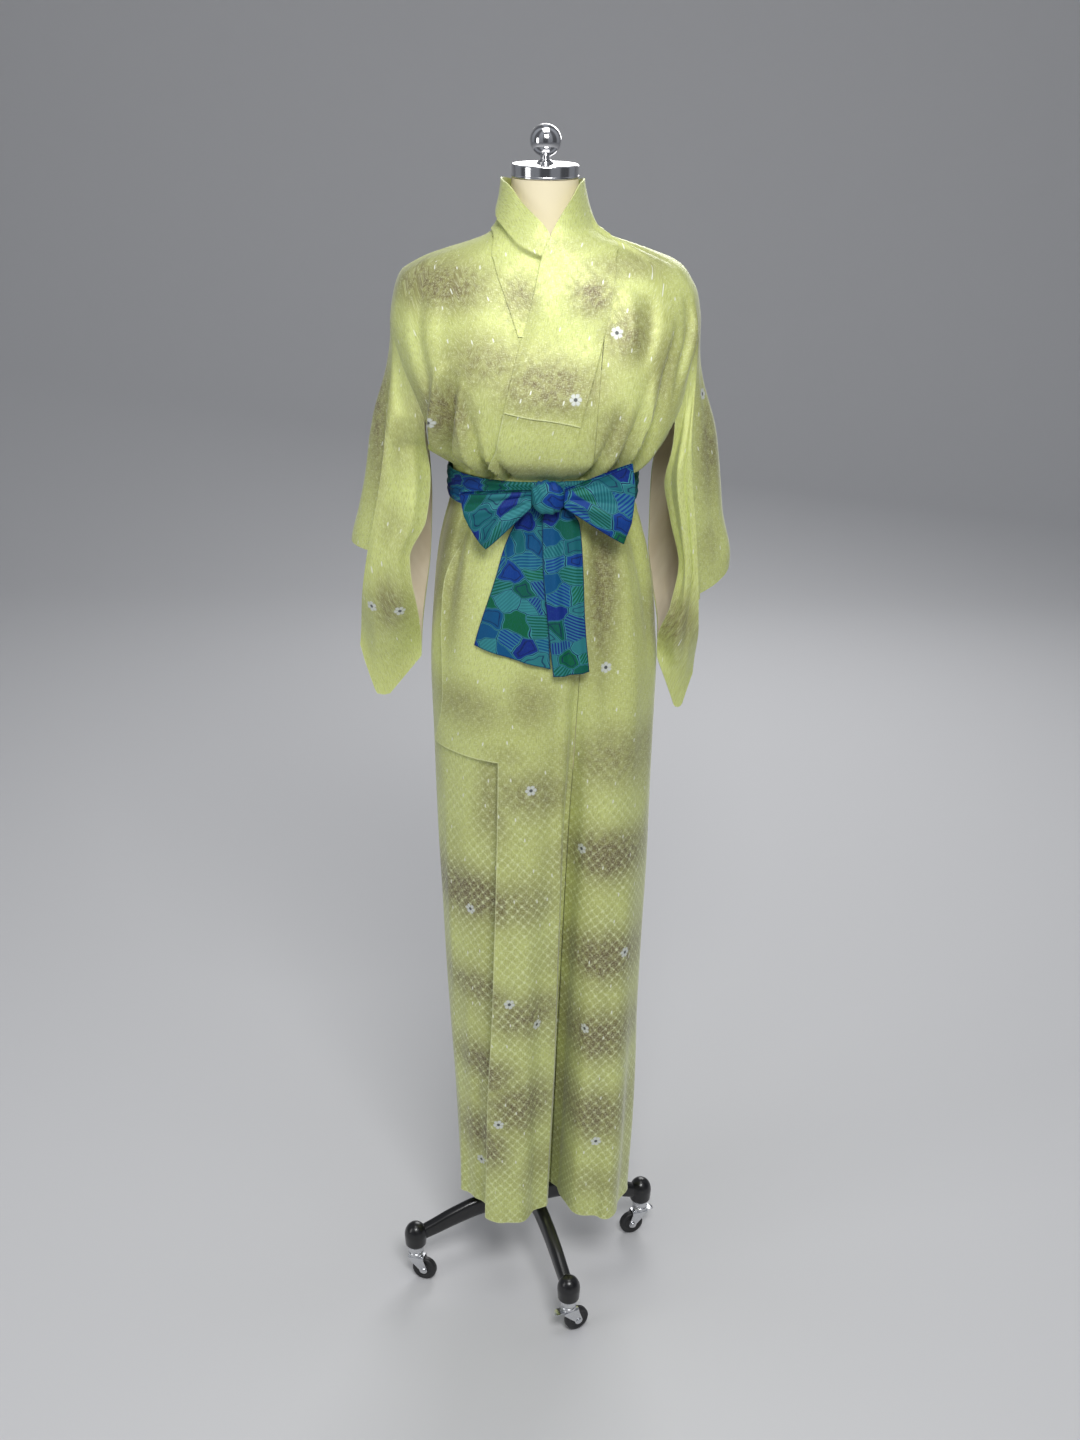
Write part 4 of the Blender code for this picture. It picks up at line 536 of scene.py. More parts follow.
# Soft creases that all layers of the robe share, by row: heights and angles of the low and high ends, half
# width in degrees, how far the cloth stands out at the low end, in the middle and at the high end (in where
# negative), and how much fuller the side towards + is.
creaseColumns = "lowZ highZ lowAngle highAngle width lowDepth midDepth highDepth skew"
frontCreases = (
    (1.040, 1.302, -58, -53, 6.0, 0.0, -0.0036, -0.0058, 0.2),
    (1.090, 1.302, -44, -41, 6.0, 0.0, 0.0026, 0.0042, -0.2),
    (1.180, 1.302, -31, -30, 4.5, 0.0, -0.0022, -0.0040, 0.0),
    (0.930, 1.302, 35, 33, 7.0, 0.0, -0.0052, -0.0064, 0.3),
    (0.860, 1.302, 52, 46, 7.5, 0.0, 0.0036, 0.0044, -0.2),
    (1.040, 1.302, 68, 63, 6.5, 0.0, -0.0034, -0.0050, 0.1),
    (1.120, 1.302, 81, 78, 6.0, 0.0, 0.0022, 0.0036, 0.0),
    (0.150, 1.150, 3.6, 12.6, 3.4, 0.0090, 0.0080, 0.0, 0.4),
    (0.150, 1.130, 9.8, 17.6, 3.6, -0.0210, -0.0170, 0.0, 0.45),
    (0.150, 0.760, -8, -5, 5.0, 0.0030, 0.0024, 0.0, 0.2),
    (0.150, 0.560, -19, -15, 5.0, -0.0032, -0.0018, 0.0, 0.0),
    (0.260, 0.900, -12, -9, 5.0, 0.0, -0.0022, 0.0, 0.0),
    (0.150, 0.690, 30, 33, 6.0, 0.0034, 0.0030, 0.0, 0.2),
    (0.150, 0.840, 43, 46, 6.0, -0.0044, -0.0030, 0.0, -0.1),
    (0.150, 0.610, 70, 66, 7.0, -0.0040, -0.0026, 0.0, 0.2),
    (0.150, 0.480, 86, 84, 6.0, 0.0036, 0.0020, 0.0, 0.0),
    (0.150, 0.720, -46, -41, 6.0, -0.0036, -0.0028, 0.0, 0.2),
    (0.150, 0.440, -70, -67, 8.0, 0.0040, 0.0022, 0.0, 0.0),
    (0.480, 0.930, -64, -60, 6.0, 0.0, 0.0024, 0.0, 0.0),
    (1.440, 1.600, -46, -49, 5.0, 0.0, -0.0026, 0.0, 0.1),
    (1.470, 1.600, -38, -42, 4.6, 0.0, 0.0022, 0.0, 0.0),
    (1.374, 1.500, -49, -28, 5.0, -0.0040, -0.0130, -0.0010, -0.50),
    (1.384, 1.512, -59, -35, 4.6, 0.0030, 0.0080, 0.0, 0.3),
    (1.362, 1.480, -26, -27, 2.8, -0.0056, -0.0050, 0.0, 0.2),
    (1.362, 1.450, -33, -33, 2.6, 0.0042, 0.0034, 0.0, 0.2),
    (1.362, 1.432, -17, -16, 2.2, -0.0048, -0.0036, 0.0, 0.0),
    (1.362, 1.440, -21, -21, 2.2, 0.0036, 0.0028, 0.0, 0.0),
    (1.362, 1.428, -50, -46, 3.2, -0.0052, -0.0044, 0.0, 0.3),
    (1.362, 1.410, -62, -60, 4.0, -0.0036, -0.0026, 0.0, 0.0),
    (1.362, 1.458, 23, 25, 2.2, -0.0056, -0.0046, 0.0, 0.2),
    (1.362, 1.470, 29, 31, 3.2, 0.0040, 0.0032, 0.0, 0.1),
    (1.366, 1.468, 34, 35, 2.2, -0.0050, -0.0048, 0.0, 0.2),
    (1.362, 1.512, 38.5, 42, 2.8, 0.0042, 0.0054, 0.0, 0.0),
    (1.366, 1.560, 44, 51, 3.4, -0.0090, -0.0100, -0.0010, 0.4),
    (1.362, 1.410, 61, 62, 4.0, 0.0034, 0.0020, 0.0, 0.0),
    (1.362, 1.400, 71, 70, 3.6, -0.0036, -0.0022, 0.0, 0.0),
    (1.455, 1.590, 59, 61, 3.8, 0.0, -0.0038, -0.0010, 0.3),
    (1.470, 1.590, 66, 68, 3.6, 0.0, 0.0030, 0.0, 0.0),
    (1.628, 1.690, 56, 80, 5.0, 0.0, 0.0026, 0.0, 0.2),
    (1.620, 1.676, 66, 92, 4.0, 0.0, -0.0022, 0.0, 0.0),
    (1.500, 1.600, 33, 38, 4.4, 0.0, -0.0028, 0.0, 0.0),
    (1.520, 1.606, 26, 29, 3.6, 0.0, 0.0022, 0.0, 0.0),
)
backCreases = (
    (0.930, 1.302, 104, 100, 6.0, 0.0, -0.0040, -0.0050, 0.2),
    (1.060, 1.302, 119, 114, 6.5, 0.0, 0.0030, 0.0040, 0.0),
    (0.860, 1.302, 133, 128, 5.5, 0.0, -0.0042, -0.0056, -0.2),
    (1.140, 1.302, 144, 141, 5.0, 0.0, 0.0028, 0.0042, 0.0),
    (1.010, 1.302, 158, 155, 5.5, 0.0, -0.0036, -0.0052, 0.2),
    (1.180, 1.302, 171, 169, 5.0, 0.0, 0.0024, 0.0036, 0.0),
    (0.980, 1.302, -172, -174, 5.5, 0.0, -0.0034, -0.0050, 0.0),
    (1.090, 1.302, -160, -161, 5.0, 0.0, 0.0028, 0.0040, 0.0),
    (0.890, 1.302, -142, -146, 6.0, 0.0, -0.0042, -0.0056, 0.2),
    (1.120, 1.302, -128, -131, 5.0, 0.0, 0.0030, 0.0040, 0.0),
    (1.000, 1.302, -112, -115, 6.0, 0.0, -0.0038, -0.0050, -0.2),
    (1.150, 1.302, -97, -99, 5.5, 0.0, 0.0024, 0.0034, 0.0),
    (0.150, 0.640, 106, 108, 6.5, -0.0040, -0.0028, 0.0, 0.0),
    (0.150, 0.520, 136, 139, 5.5, 0.0040, 0.0024, 0.0, 0.0),
    (0.150, 0.780, 165, 162, 6.0, -0.0042, -0.0030, 0.0, 0.2),
    (0.150, 0.590, -164, -161, 5.5, 0.0040, 0.0030, 0.0, 0.0),
    (0.150, 0.700, -134, -137, 6.0, 0.0036, 0.0030, 0.0, 0.0),
    (0.150, 0.460, -119, -117, 5.5, -0.0040, -0.0020, 0.0, -0.2),
    (0.150, 0.820, -102, -98, 6.0, 0.0034, 0.0026, 0.0, 0.0),
    (1.362, 1.450, 108, 110, 3.2, -0.0040, -0.0030, 0.0, 0.0),
    (1.362, 1.420, 117, 118, 3.4, 0.0036, 0.0024, 0.0, 0.0),
    (1.362, 1.480, 126, 129, 3.6, -0.0048, -0.0038, 0.0, 0.2),
    (1.362, 1.430, 136, 137, 3.6, 0.0038, 0.0026, 0.0, 0.0),
    (1.362, 1.410, 145, 146, 3.2, -0.0044, -0.0028, 0.0, 0.0),
    (1.362, 1.500, 155, 158, 4.0, 0.0042, 0.0034, 0.0, 0.0),
    (1.362, 1.440, 165, 167, 3.4, -0.0046, -0.0034, 0.0, -0.2),
    (1.362, 1.420, 175, 176, 3.4, 0.0036, 0.0022, 0.0, 0.0),
    (1.362, 1.470, -175, -174, 3.6, -0.0044, -0.0036, 0.0, 0.0),
    (1.362, 1.430, -165, -166, 3.4, 0.0038, 0.0026, 0.0, 0.0),
    (1.362, 1.410, -155, -156, 3.2, -0.0046, -0.0030, 0.0, 0.2),
    (1.362, 1.490, -146, -149, 4.0, 0.0040, 0.0034, 0.0, 0.0),
    (1.362, 1.440, -136, -138, 3.6, -0.0046, -0.0036, 0.0, 0.0),
    (1.362, 1.410, -126, -127, 3.4, 0.0036, 0.0022, 0.0, 0.0),
    (1.362, 1.460, -117, -118, 3.2, -0.0042, -0.0032, 0.0, 0.0),
    (1.362, 1.400, -108, -109, 3.2, 0.0030, 0.0020, 0.0, 0.0),
    (1.480, 1.600, 122, 132, 5.0, 0.0, -0.0040, 0.0, 0.2),
    (1.500, 1.610, -128, -138, 5.0, 0.0, -0.0036, 0.0, 0.0),
    (1.540, 1.620, 150, 158, 5.0, 0.0, 0.0026, 0.0, 0.0),
)
creases = table(creaseColumns, *frontCreases, *backCreases)
creaseGain = 1.55
creaseFade = 0.010      # a crease that starts at the sash fades in over this height


def smoothRead(stations, values, at):
    # Cubic through the rows with no overshoot: each tangent is the harmonic mean of its two slopes.
    step = np.diff(stations)
    slope = np.diff(values) / step
    before, after = slope[:-1], slope[1:]
    same = before * after > 0
    total = np.where(same, before + after, 1.0)
    middle = np.where(same, 2 * before * after / total, 0.0)
    tangent = np.concatenate(([slope[0]], middle, [slope[-1]]))
    at = np.clip(at, stations[0], stations[-1])
    i = np.clip(np.searchsorted(stations, at, side="right") - 1, 0, len(step) - 1)
    t = (at - stations[i]) / step[i]
    start = values[i] * (1 + 2 * t) * (1 - t) ** 2 + tangent[i] * step[i] * t * (1 - t) ** 2
    end = values[i + 1] * t * t * (3 - 2 * t) + tangent[i + 1] * step[i] * t * t * (t - 1)
    return start + end


def read(rows, name, z):
    # One column of a table at these heights.
    return smoothRead(rows["z"], rows[name], z)


def ramp(value, low, high):
    # 0 below low, 1 above high, 3t^2 - 2t^3 between.
    t = np.clip((value - low) / (high - low), 0.0, 1.0)
    return t * t * (3 - 2 * t)


def turned(angle):
    # The same angle between -180 and 180.
    return (angle + 180.0) % 360.0 - 180.0


def foldPush(angle, z, folds):
    # Big folds: sum of depth times exp(-(angle off the fold / its width)^2), along Y.
    push = np.zeros(np.broadcast(angle, z).shape)
    for i in range(len(folds["lowZ"])):
        low, high = folds["lowZ"][i], folds["highZ"][i]
        t = np.clip((z - low) / (high - low), 0.0, 1.0)
        sweep = turned(folds["highAngle"][i] - folds["lowAngle"][i])
        centre = folds["lowAngle"][i] + sweep * t
        depth = folds["lowDepth"][i] + (folds["highDepth"][i] - folds["lowDepth"][i]) * t
        if low > hemHeight:
            depth = depth * ramp(z, low - foldFade, low)
        depth = depth * (1 - ramp(z, high, high + 2 * foldFade))
        away = turned(angle - centre) / folds["width"][i]
        facing = math.copysign(1.0, math.cos(math.radians(folds["lowAngle"][i])))
        push = push + facing * depth * np.exp(-away * away)
    return push


def creaseRise(angle, z):
    # Soft creases: sum of a depth, quadratic along the crease, times exp(-(angle off / width)^2), with one
    # side of each fuller than the other. Two slow waves keep the cloth between them from lying flat.
    angle, z = np.broadcast_arrays(np.asarray(angle, float), np.asarray(z, float))
    rise = np.zeros(angle.shape)
    for i in range(len(creases["lowZ"])):
        low, high = creases["lowZ"][i], creases["highZ"][i]
        t = np.clip((z - low) / (high - low), 0.0, 1.0)
        centre = creases["lowAngle"][i] + turned(creases["highAngle"][i] - creases["lowAngle"][i]) * t
        depth = (creases["lowDepth"][i] * (1 - t) * (1 - 2 * t) + 4 * creases["midDepth"][i] * t * (1 - t)
                 + creases["highDepth"][i] * t * (2 * t - 1))
        depth = depth * (1 - ramp(z, high, high + creaseFade))
        if low > hemHeight:
            depth = depth * ramp(z, low - creaseFade, low)
        off = turned(angle - centre)
        away = off / (creases["width"][i] * (1 + creases["skew"][i] * np.sign(off)))
        rise = rise + depth * np.exp(-away * away)
    turn = np.radians(angle)
    slow = np.sin(7 * turn + 11 * z) * np.sin(9.0 * z + 2 * turn) + 0.7 * np.sin(13 * turn - 17 * z + 1.0)
    calm = ramp(z, 1.36, 1.42) + 1 - ramp(z, 1.22, 1.30)
    return creaseGain * rise + 0.0006 * slow * calm * (1 - ramp(z, 1.62, 1.66))


def robeSurface(angle, z, folds):
    # Oval section at height z: x = width sign(sin) |sin|^square, y = -depth sign(cos) |cos|^square, then
    # the big folds pushed in along Y.
    angle, z = np.broadcast_arrays(np.asarray(angle, float), np.asarray(z, float))
    sine, cosine = np.sin(np.radians(angle)), np.cos(np.radians(angle))
    square = read(robeShape, "square", z)
    wide = np.where(sine > 0, read(robeShape, "left", z), read(robeShape, "right", z))
    deep = np.where(cosine > 0, read(robeShape, "front", z), read(robeShape, "back", z))
    x = wide * np.sign(sine) * np.abs(sine) ** square
    y = -deep * np.sign(cosine) * np.abs(cosine) ** square + foldPush(angle, z, folds)
    return np.stack((x, y, z), axis=-1)


def robe(angle, z, out, folds, creased=True):
    # A point of the robe moved out along the surface's normal, by out and by the soft creases there.
    turn, rise = 1.5, 0.004
    across = robeSurface(angle + turn, z, folds) - robeSurface(angle - turn, z, folds)
    up = robeSurface(angle, z + rise, folds) - robeSurface(angle, z - rise, folds)
    normal = np.cross(across, up)
    normal /= np.linalg.norm(normal, axis=-1, keepdims=True)
    out = np.asarray(out, float) + (creaseRise(angle, z) if creased else 0.0)
    return robeSurface(angle, z, folds) + normal * out[..., None]


def angleAt(x, z):
    # Angle at which the section at height z reaches x in the front view.
    x, z = np.asarray(x, float), np.asarray(z, float)
    wide = np.where(x > 0, read(robeShape, "left", z), read(robeShape, "right", z))
    share = np.clip(np.abs(x) / wide, 0.0, 1.0) ** (1 / read(robeShape, "square", z))
    return np.sign(x) * np.degrees(np.arcsin(share))


def spread(start, end, cells):
    # Columns from one edge to the other in even steps, a row for each height.
    t = np.linspace(0.0, 1.0, cells + 1)
    return start[:, None] + (end - start)[:, None] * t


def gridNormals(grid):
    # Unit normal at each point of a grid, from its neighbours along both directions.
    normal = np.cross(np.gradient(grid, axis=1), np.gradient(grid, axis=0))
    return normal / np.maximum(np.linalg.norm(normal, axis=-1, keepdims=True), 1e-9)


def lengths(grid, axis):
    # Distance along the grid's rows or columns from their start.
    step = np.linalg.norm(np.diff(grid, axis=axis), axis=-1)
    start = np.zeros_like(np.take(step, [0], axis=axis))
    return np.concatenate((start, np.cumsum(step, axis=axis)), axis=axis)


def clothPlace(grid, origin="start"):
    # Place in the flat cloth: across from the first or last column, and up from the first row, in metres.
    across = lengths(grid, 1)
    if origin == "end":
        across = across - across[:, -1:]
    return np.stack((across, lengths(grid, 0)), axis=-1)


def hemDistance(grid, sides):
    # Distance to the nearest of the named edges of the grid: low, high (rows), start, end (columns).
    across, along = lengths(grid, 1), lengths(grid, 0)
    found = np.full(grid.shape[:2], 1.0)
    for side, value in (("low", along), ("high", along[-1:] - along), ("start", across),
                        ("end", across[:, -1:] - across)):
        if side in sides:
            found = np.minimum(found, value)
    return found


def fineRows(low, high, extra=()):
    # Heights between two ends, closer where the robe's outline turns, so that cells keep an even length.
    fine = np.linspace(low, high, 1200)
    change = [np.abs(np.diff(read(robeShape, name, fine))) for name in ("left", "front", "back")]
    length = np.concatenate(([0.0], np.cumsum(np.hypot(np.diff(fine), np.max(change, axis=0)))))
    count = max(int(length[-1] / cloth["cell"]), 2)
    rows = np.interp(np.linspace(0.0, length[-1], count + 1), length, fine)
    for height in extra:
        rows[np.argmin(np.abs(rows - height))] = height
    return rows


def facesOf(keep, wrap):
    # Corner rows and columns of each kept cell, and of each side wall where a cell has no neighbour.
    rows, last = keep.shape
    r, c = np.nonzero(keep)
    padded = np.zeros((rows + 2, last + 2), bool)
    padded[1:-1, 1:-1] = keep
    if wrap:
        padded[1:-1, 0], padded[1:-1, -1] = keep[:, -1], keep[:, 0]
    walls = []
    for dr, dc, first, second in ((-1, 0, (0, 0), (0, 1)), (0, 1, (0, 1), (1, 1)),
                                  (1, 0, (1, 1), (1, 0)), (0, -1, (1, 0), (0, 0))):
        bare = ~padded[r + 1 + dr, c + 1 + dc]
        walls.append((r[bare] + first[0], c[bare] + first[1], r[bare] + second[0], c[bare] + second[1]))
    return r, c, [np.concatenate(part) for part in zip(*walls)]


def makeMesh(name, points, corners, sizes, material, sharp=40):
    # Mesh from points, the corner list of all faces and each face's number of corners.
    mesh = bpy.data.meshes.new(name)
    starts = np.concatenate(([0], np.cumsum(sizes)[:-1]))
    mesh.vertices.add(len(points))
    mesh.vertices.foreach_set("co", np.asarray(points, np.float32).ravel())
    mesh.loops.add(len(corners))
    mesh.loops.foreach_set("vertex_index", np.asarray(corners, np.int32))
    mesh.polygons.add(len(sizes))
    mesh.polygons.foreach_set("loop_start", starts.astype(np.int32))
    mesh.update(calc_edges=True)
    mesh.validate()
    mesh.shade_smooth()
    mesh.set_sharp_from_angle(angle=math.radians(sharp))
    mesh.materials.append(material)
    obj = bpy.data.objects.new(name, mesh)
    bpy.context.scene.collection.objects.link(obj)
    return obj


def volumeOf(points, faces):
    # Signed volume of quads, + where they face out.
    a, b, c, d = (points[faces[:, i]] for i in range(4))
    return (np.einsum("ij,ij->i", a, np.cross(b, c)) + np.einsum("ij,ij->i", a, np.cross(c, d))).sum() / 6


def shell(name, inner, outer, material, place, hem=None, keep=None, wrap=False, brown=None, flowers=()):
    # Closed thin wall between two grids. place gives the flat cloth's coordinates, with one column more
    # than the grid where it wraps.
    rows, columns = inner.shape[:2]
    last = columns if wrap else columns - 1
    keep = np.ones((rows - 1, last), bool) if keep is None else keep
    r, c, (r1, c1, r2, c2) = facesOf(keep, wrap)
    points = np.concatenate((inner.reshape(-1, 3), outer.reshape(-1, 3)))
    shift = rows * columns
    spot = lambda row, column: row * columns + column % columns
    ring = ((r, c), (r, c + 1), (r + 1, c + 1), (r + 1, c))
    outside = np.stack([shift + spot(*at) for at in ring], axis=1)
    inside = np.stack([spot(*at) for at in ring[::-1]], axis=1)
    side = np.stack((spot(r1, c1), spot(r2, c2), shift + spot(r2, c2), shift + spot(r1, c1)), axis=1)
    rowOf = np.concatenate((np.stack([at[0] for at in ring], 1), np.stack([at[0] for at in ring[::-1]], 1),
                            np.stack((r1, r2, r2, r1), 1)))
    columnOf = np.concatenate((np.stack([at[1] for at in ring], 1),
                               np.stack([at[1] for at in ring[::-1]], 1), np.stack((c1, c2, c2, c1), 1)))
    faces = np.concatenate((outside, inside, side))
    if volumeOf(points, faces) < 0:
        faces, rowOf, columnOf = faces[:, ::-1], rowOf[:, ::-1], columnOf[:, ::-1]
    used, renumbered = np.unique(faces, return_inverse=True)
    obj = makeMesh(name, points[used], renumbered.ravel(), np.full(len(faces), 4), material)
    mesh = obj.data
    uv = place[rowOf, columnOf]
    mesh.uv_layers.new(name="cloth").data.foreach_set("uv", uv.reshape(-1, 2).astype(np.float32).ravel())
    grid = used % shift
    if brown is not None:
        layer = mesh.attributes.new("brown", "FLOAT", "POINT")
        layer.data.foreach_set("value", brown.ravel()[grid].astype(np.float32))
    if hem is not None:
        layer = mesh.attributes.new("hem", "FLOAT", "POINT")
        layer.data.foreach_set("value", np.clip(hem, 0, 0.05).ravel()[grid].astype(np.float32))
    if len(flowers):
        addFlowers(mesh, points[faces], len(outside), np.array(flowers))
    return obj


def addFlowers(mesh, corners, outside, flowers):
    # Each outer face reads its nearest flower: the offset of each corner from its centre, across and up in the
    # plane that touches the cloth there, and its turn.
    far = np.linalg.norm(corners.mean(axis=1)[:, None] - flowers[None, :, :3], axis=-1)
    near = flowers[far.argmin(axis=1), None]
    offset = corners - near[..., :3]
    value = np.stack(((offset * near[..., 3:6]).sum(-1), (offset * near[..., 6:9]).sum(-1),
                      near[..., 9] + np.zeros(offset.shape[:2])), axis=-1)
    value[far.min(axis=1) > flowerSize["reach"]] = (1.0, 1.0, 0.0)
    value[outside:] = (1.0, 1.0, 0.0)
    layer = mesh.attributes.new("flower", "FLOAT_VECTOR", "CORNER")
    layer.data.foreach_set("vector", value.reshape(-1, 3).astype(np.float32).ravel())


def sideName(side):
    return "left" if side > 0 else "right"


def sideFolds(side):
    return outerFolds if side > 0 else underFolds


def seamAngle(side, z):
    # Front edge of a body panel: the overlap's seam, then the collar's seam above the overlap's tip.
    collar = leftCollar if side > 0 else rightCollar
    neck = neckCollar if side > 0 else neckRightCollar
    overlap = leftOkumiSeam if side > 0 else rightOkumiSeam
    if side > 0:
        lowZ, highZ, lowAngle, highAngle = (outerFolds[key][0] for key in foldColumns.split()[:4])
        skirt = lowAngle + (highAngle - lowAngle) * np.clip((z - lowZ) / (highZ - lowZ), 0, 1)
    else:
        skirt = angleAt(np.full_like(z, rightOkumiSeamX), z)
    chest = angleAt(read(overlap, "x", z), z)
    mixed = skirt + (chest - skirt) * ramp(z, cloth["skirtTop"], cloth["waist"])
    sewn = angleAt(read(collar, "seam", z), z)
    turning = float(angleAt(collar["seam"][-1], cloth["neckTurn"]))
    roundNeck = np.interp(z, (cloth["neckTurn"], neck["seamZ"][0], neck["seamZ"][2]),
                          (turning, neck["seamAngle"][0], side * 90.0))
    edge = np.where(z < overlap["z"][-1], mixed, sewn)
    return np.where(z > cloth["neckTurn"], roundNeck, edge)


def leftLayer(angle):
    # The left front lies over the right one, and comes down to the form towards the side.
    return cloth["layer"] * (1 - ramp(np.abs(angle), *cloth["layerFade"]))


def brownShade(grid):
    # Share of brown dye, and of painted shade where a patch stands for shadow: the most of strength times
    # exp(-((dx/wide)^2 + (dz/high)^2)^power), front and back apart.
    x, y, z = grid[..., 0], grid[..., 1], grid[..., 2]
    found = np.zeros(x.shape)
    for front, spots in brownSpots.items():
        near = ramp(-y if front else y, -0.02, 0.02)
        for i in range(len(spots["x"])):
            away = (((x - spots["x"][i]) / (dyeAndShade["wide"] * spots["wide"][i])) ** 2
                    + ((z - spots["z"][i]) / (dyeAndShade["high"] * spots["high"][i])) ** 2)
            found = np.maximum(found, near * dyeAndShade["strength"] * spots["strength"][i] * np.exp(-away ** dyeAndShade["power"]))
    return np.clip(found, 0.0, 1.0)


def flowersOn(name, grid):
    # Each flower's centre, at the grid point nearest to it in the front or back view, the directions across
    # and up in the cloth there, and its turn.
    found, normals = [], gridNormals(grid)
    for piece, x, z, turn, front in flowerPlaces:
        if piece != name:
            continue
        off = (grid[..., 0] - x) ** 2 + (grid[..., 2] - z) ** 2
        off = off + np.where((grid[..., 1] < 0.02) == front, 0.0, 1.0)
        row, column = np.unravel_index(off.argmin(), off.shape)
        normal = normals[row, column]
        across = np.cross((0.0, 0.0, 1.0), normal)
        across /= np.linalg.norm(across)
        found.append((*grid[row, column], *across, *np.cross(normal, across), turn))
    return found


def robeShell(name, angle, height, out, folds, hemSides, origin="start", keep=None):
    # Shell on the robe's own surface, its hem a little fuller, with brown dye, painted shade in a few patches, and
    # flowers.
    inner = robe(angle, height, out, folds)
    hem = hemDistance(inner, hemSides)
    full = cloth["hemRoll"] * np.clip(1 - hem / cloth["hemReach"], 0, 1) ** 0.5
    outer = robe(angle, height, out + cloth["wall"] + full, folds)
    place = clothPlace(outer, origin)
    obj = shell(name, inner, outer, silk, place, hem, keep, brown=brownShade(outer),
                flowers=flowersOn(name, outer))
    settle(obj, areaOf(outer, keep))
    return obj


def areaOf(grid, keep=None):
    # Area of the grid's kept cells.
    a, b, c, d = grid[:-1, :-1], grid[:-1, 1:], grid[1:, 1:], grid[1:, :-1]
    area = np.linalg.norm(np.cross(c - a, d - b), axis=-1) / 2
    return float(area.sum() if keep is None else area[keep].sum())


def settle(obj, area=None, body="robe_and_form", nodes=None):
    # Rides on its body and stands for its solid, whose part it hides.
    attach(obj, body)
    stands = (pieceNodes[obj.name],) if nodes is None else nodes
    if stands:
        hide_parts(*stands)
    print(obj.name, len(obj.data.polygons), "faces", "" if area is None else round(area, 3))


def bodyPanel(side):
    # Half of the body: back and front in one length over the shoulder, open under the arm.
    name, folds = sideName(side), sideFolds(side)
    z = fineRows(hemHeight, cloth["bodyTop"], (slitBottom, armholeTop))
    centreBack = np.full_like(z, side * (180.0 - cloth["backTurn"]))
    back = side * np.interp(z, armhole["z"], armhole["back"])
    front = side * np.interp(z, armhole["z"], armhole[name + "Front"])
    edge = seamAngle(side, z) + side * cloth["seamTurn"]
    under, low, high = cloth["neckUnder"]
    edge = side * np.minimum(side * edge, side * front - cloth["leastFront"]) - side * under * ramp(z, low, high)
    backCells, armCells, frontCells = bodyCells[name]
    angle = np.concatenate((spread(centreBack, back, backCells)[:, :-1],
                            spread(back, front, armCells)[:, :-1], spread(front, edge, frontCells)), axis=1)
    height = np.repeat(z[:, None], angle.shape[1], axis=1)
    out = leftLayer(angle) * (1 - ramp(height, *cloth["layerTop"])) if side > 0 else np.zeros_like(angle)
    keep = np.ones((len(z) - 1, angle.shape[1] - 1), bool)
    middle = (z[:-1] + z[1:]) / 2
    openRows = (middle > slitBottom) & (middle < armholeTop)
    keep[openRows, backCells:backCells + armCells] = False
    return robeShell("bodyLeft" if side > 0 else "bodyRight", angle, height, out, folds, ("low",), "end", keep)


def okumi(side):
    # Overlap panel: from the body's seam to its free edge, and to the collar's seam above that.
    name, folds = sideName(side), sideFolds(side)
    z = fineRows(hemHeight, okumiTop[name], (cloth["edgeChange"],))
    seam = seamAngle(side, z) - side * cloth["seamTurn"]
    below = z < cloth["edgeChange"]
    collar = leftCollar if side > 0 else rightCollar
    free = angleAt(np.where(below, read(okumiEdge, name, z), read(collar, "seam", z)), z)
    free = side * np.minimum(side * free, side * seam - cloth["tipTurn"])
    angle = spread(seam, free, okumiCells[name])
    height = np.repeat(z[:, None], angle.shape[1], axis=1)
    out = np.full_like(angle, cloth["layer"] if side > 0 else 0.0)
    if side > 0:
        lift, start = cloth["edgeLift"][2:]
        share = np.linspace(0.0, 1.0, angle.shape[1])
        out = out + lift * ramp(share, start, 1.0) * (1 - ramp(height, 0.55, cloth["edgeChange"]))
    return robeShell("okumiLeft" if side > 0 else "okumiRight", angle, height, out, folds, ("low", "end"))


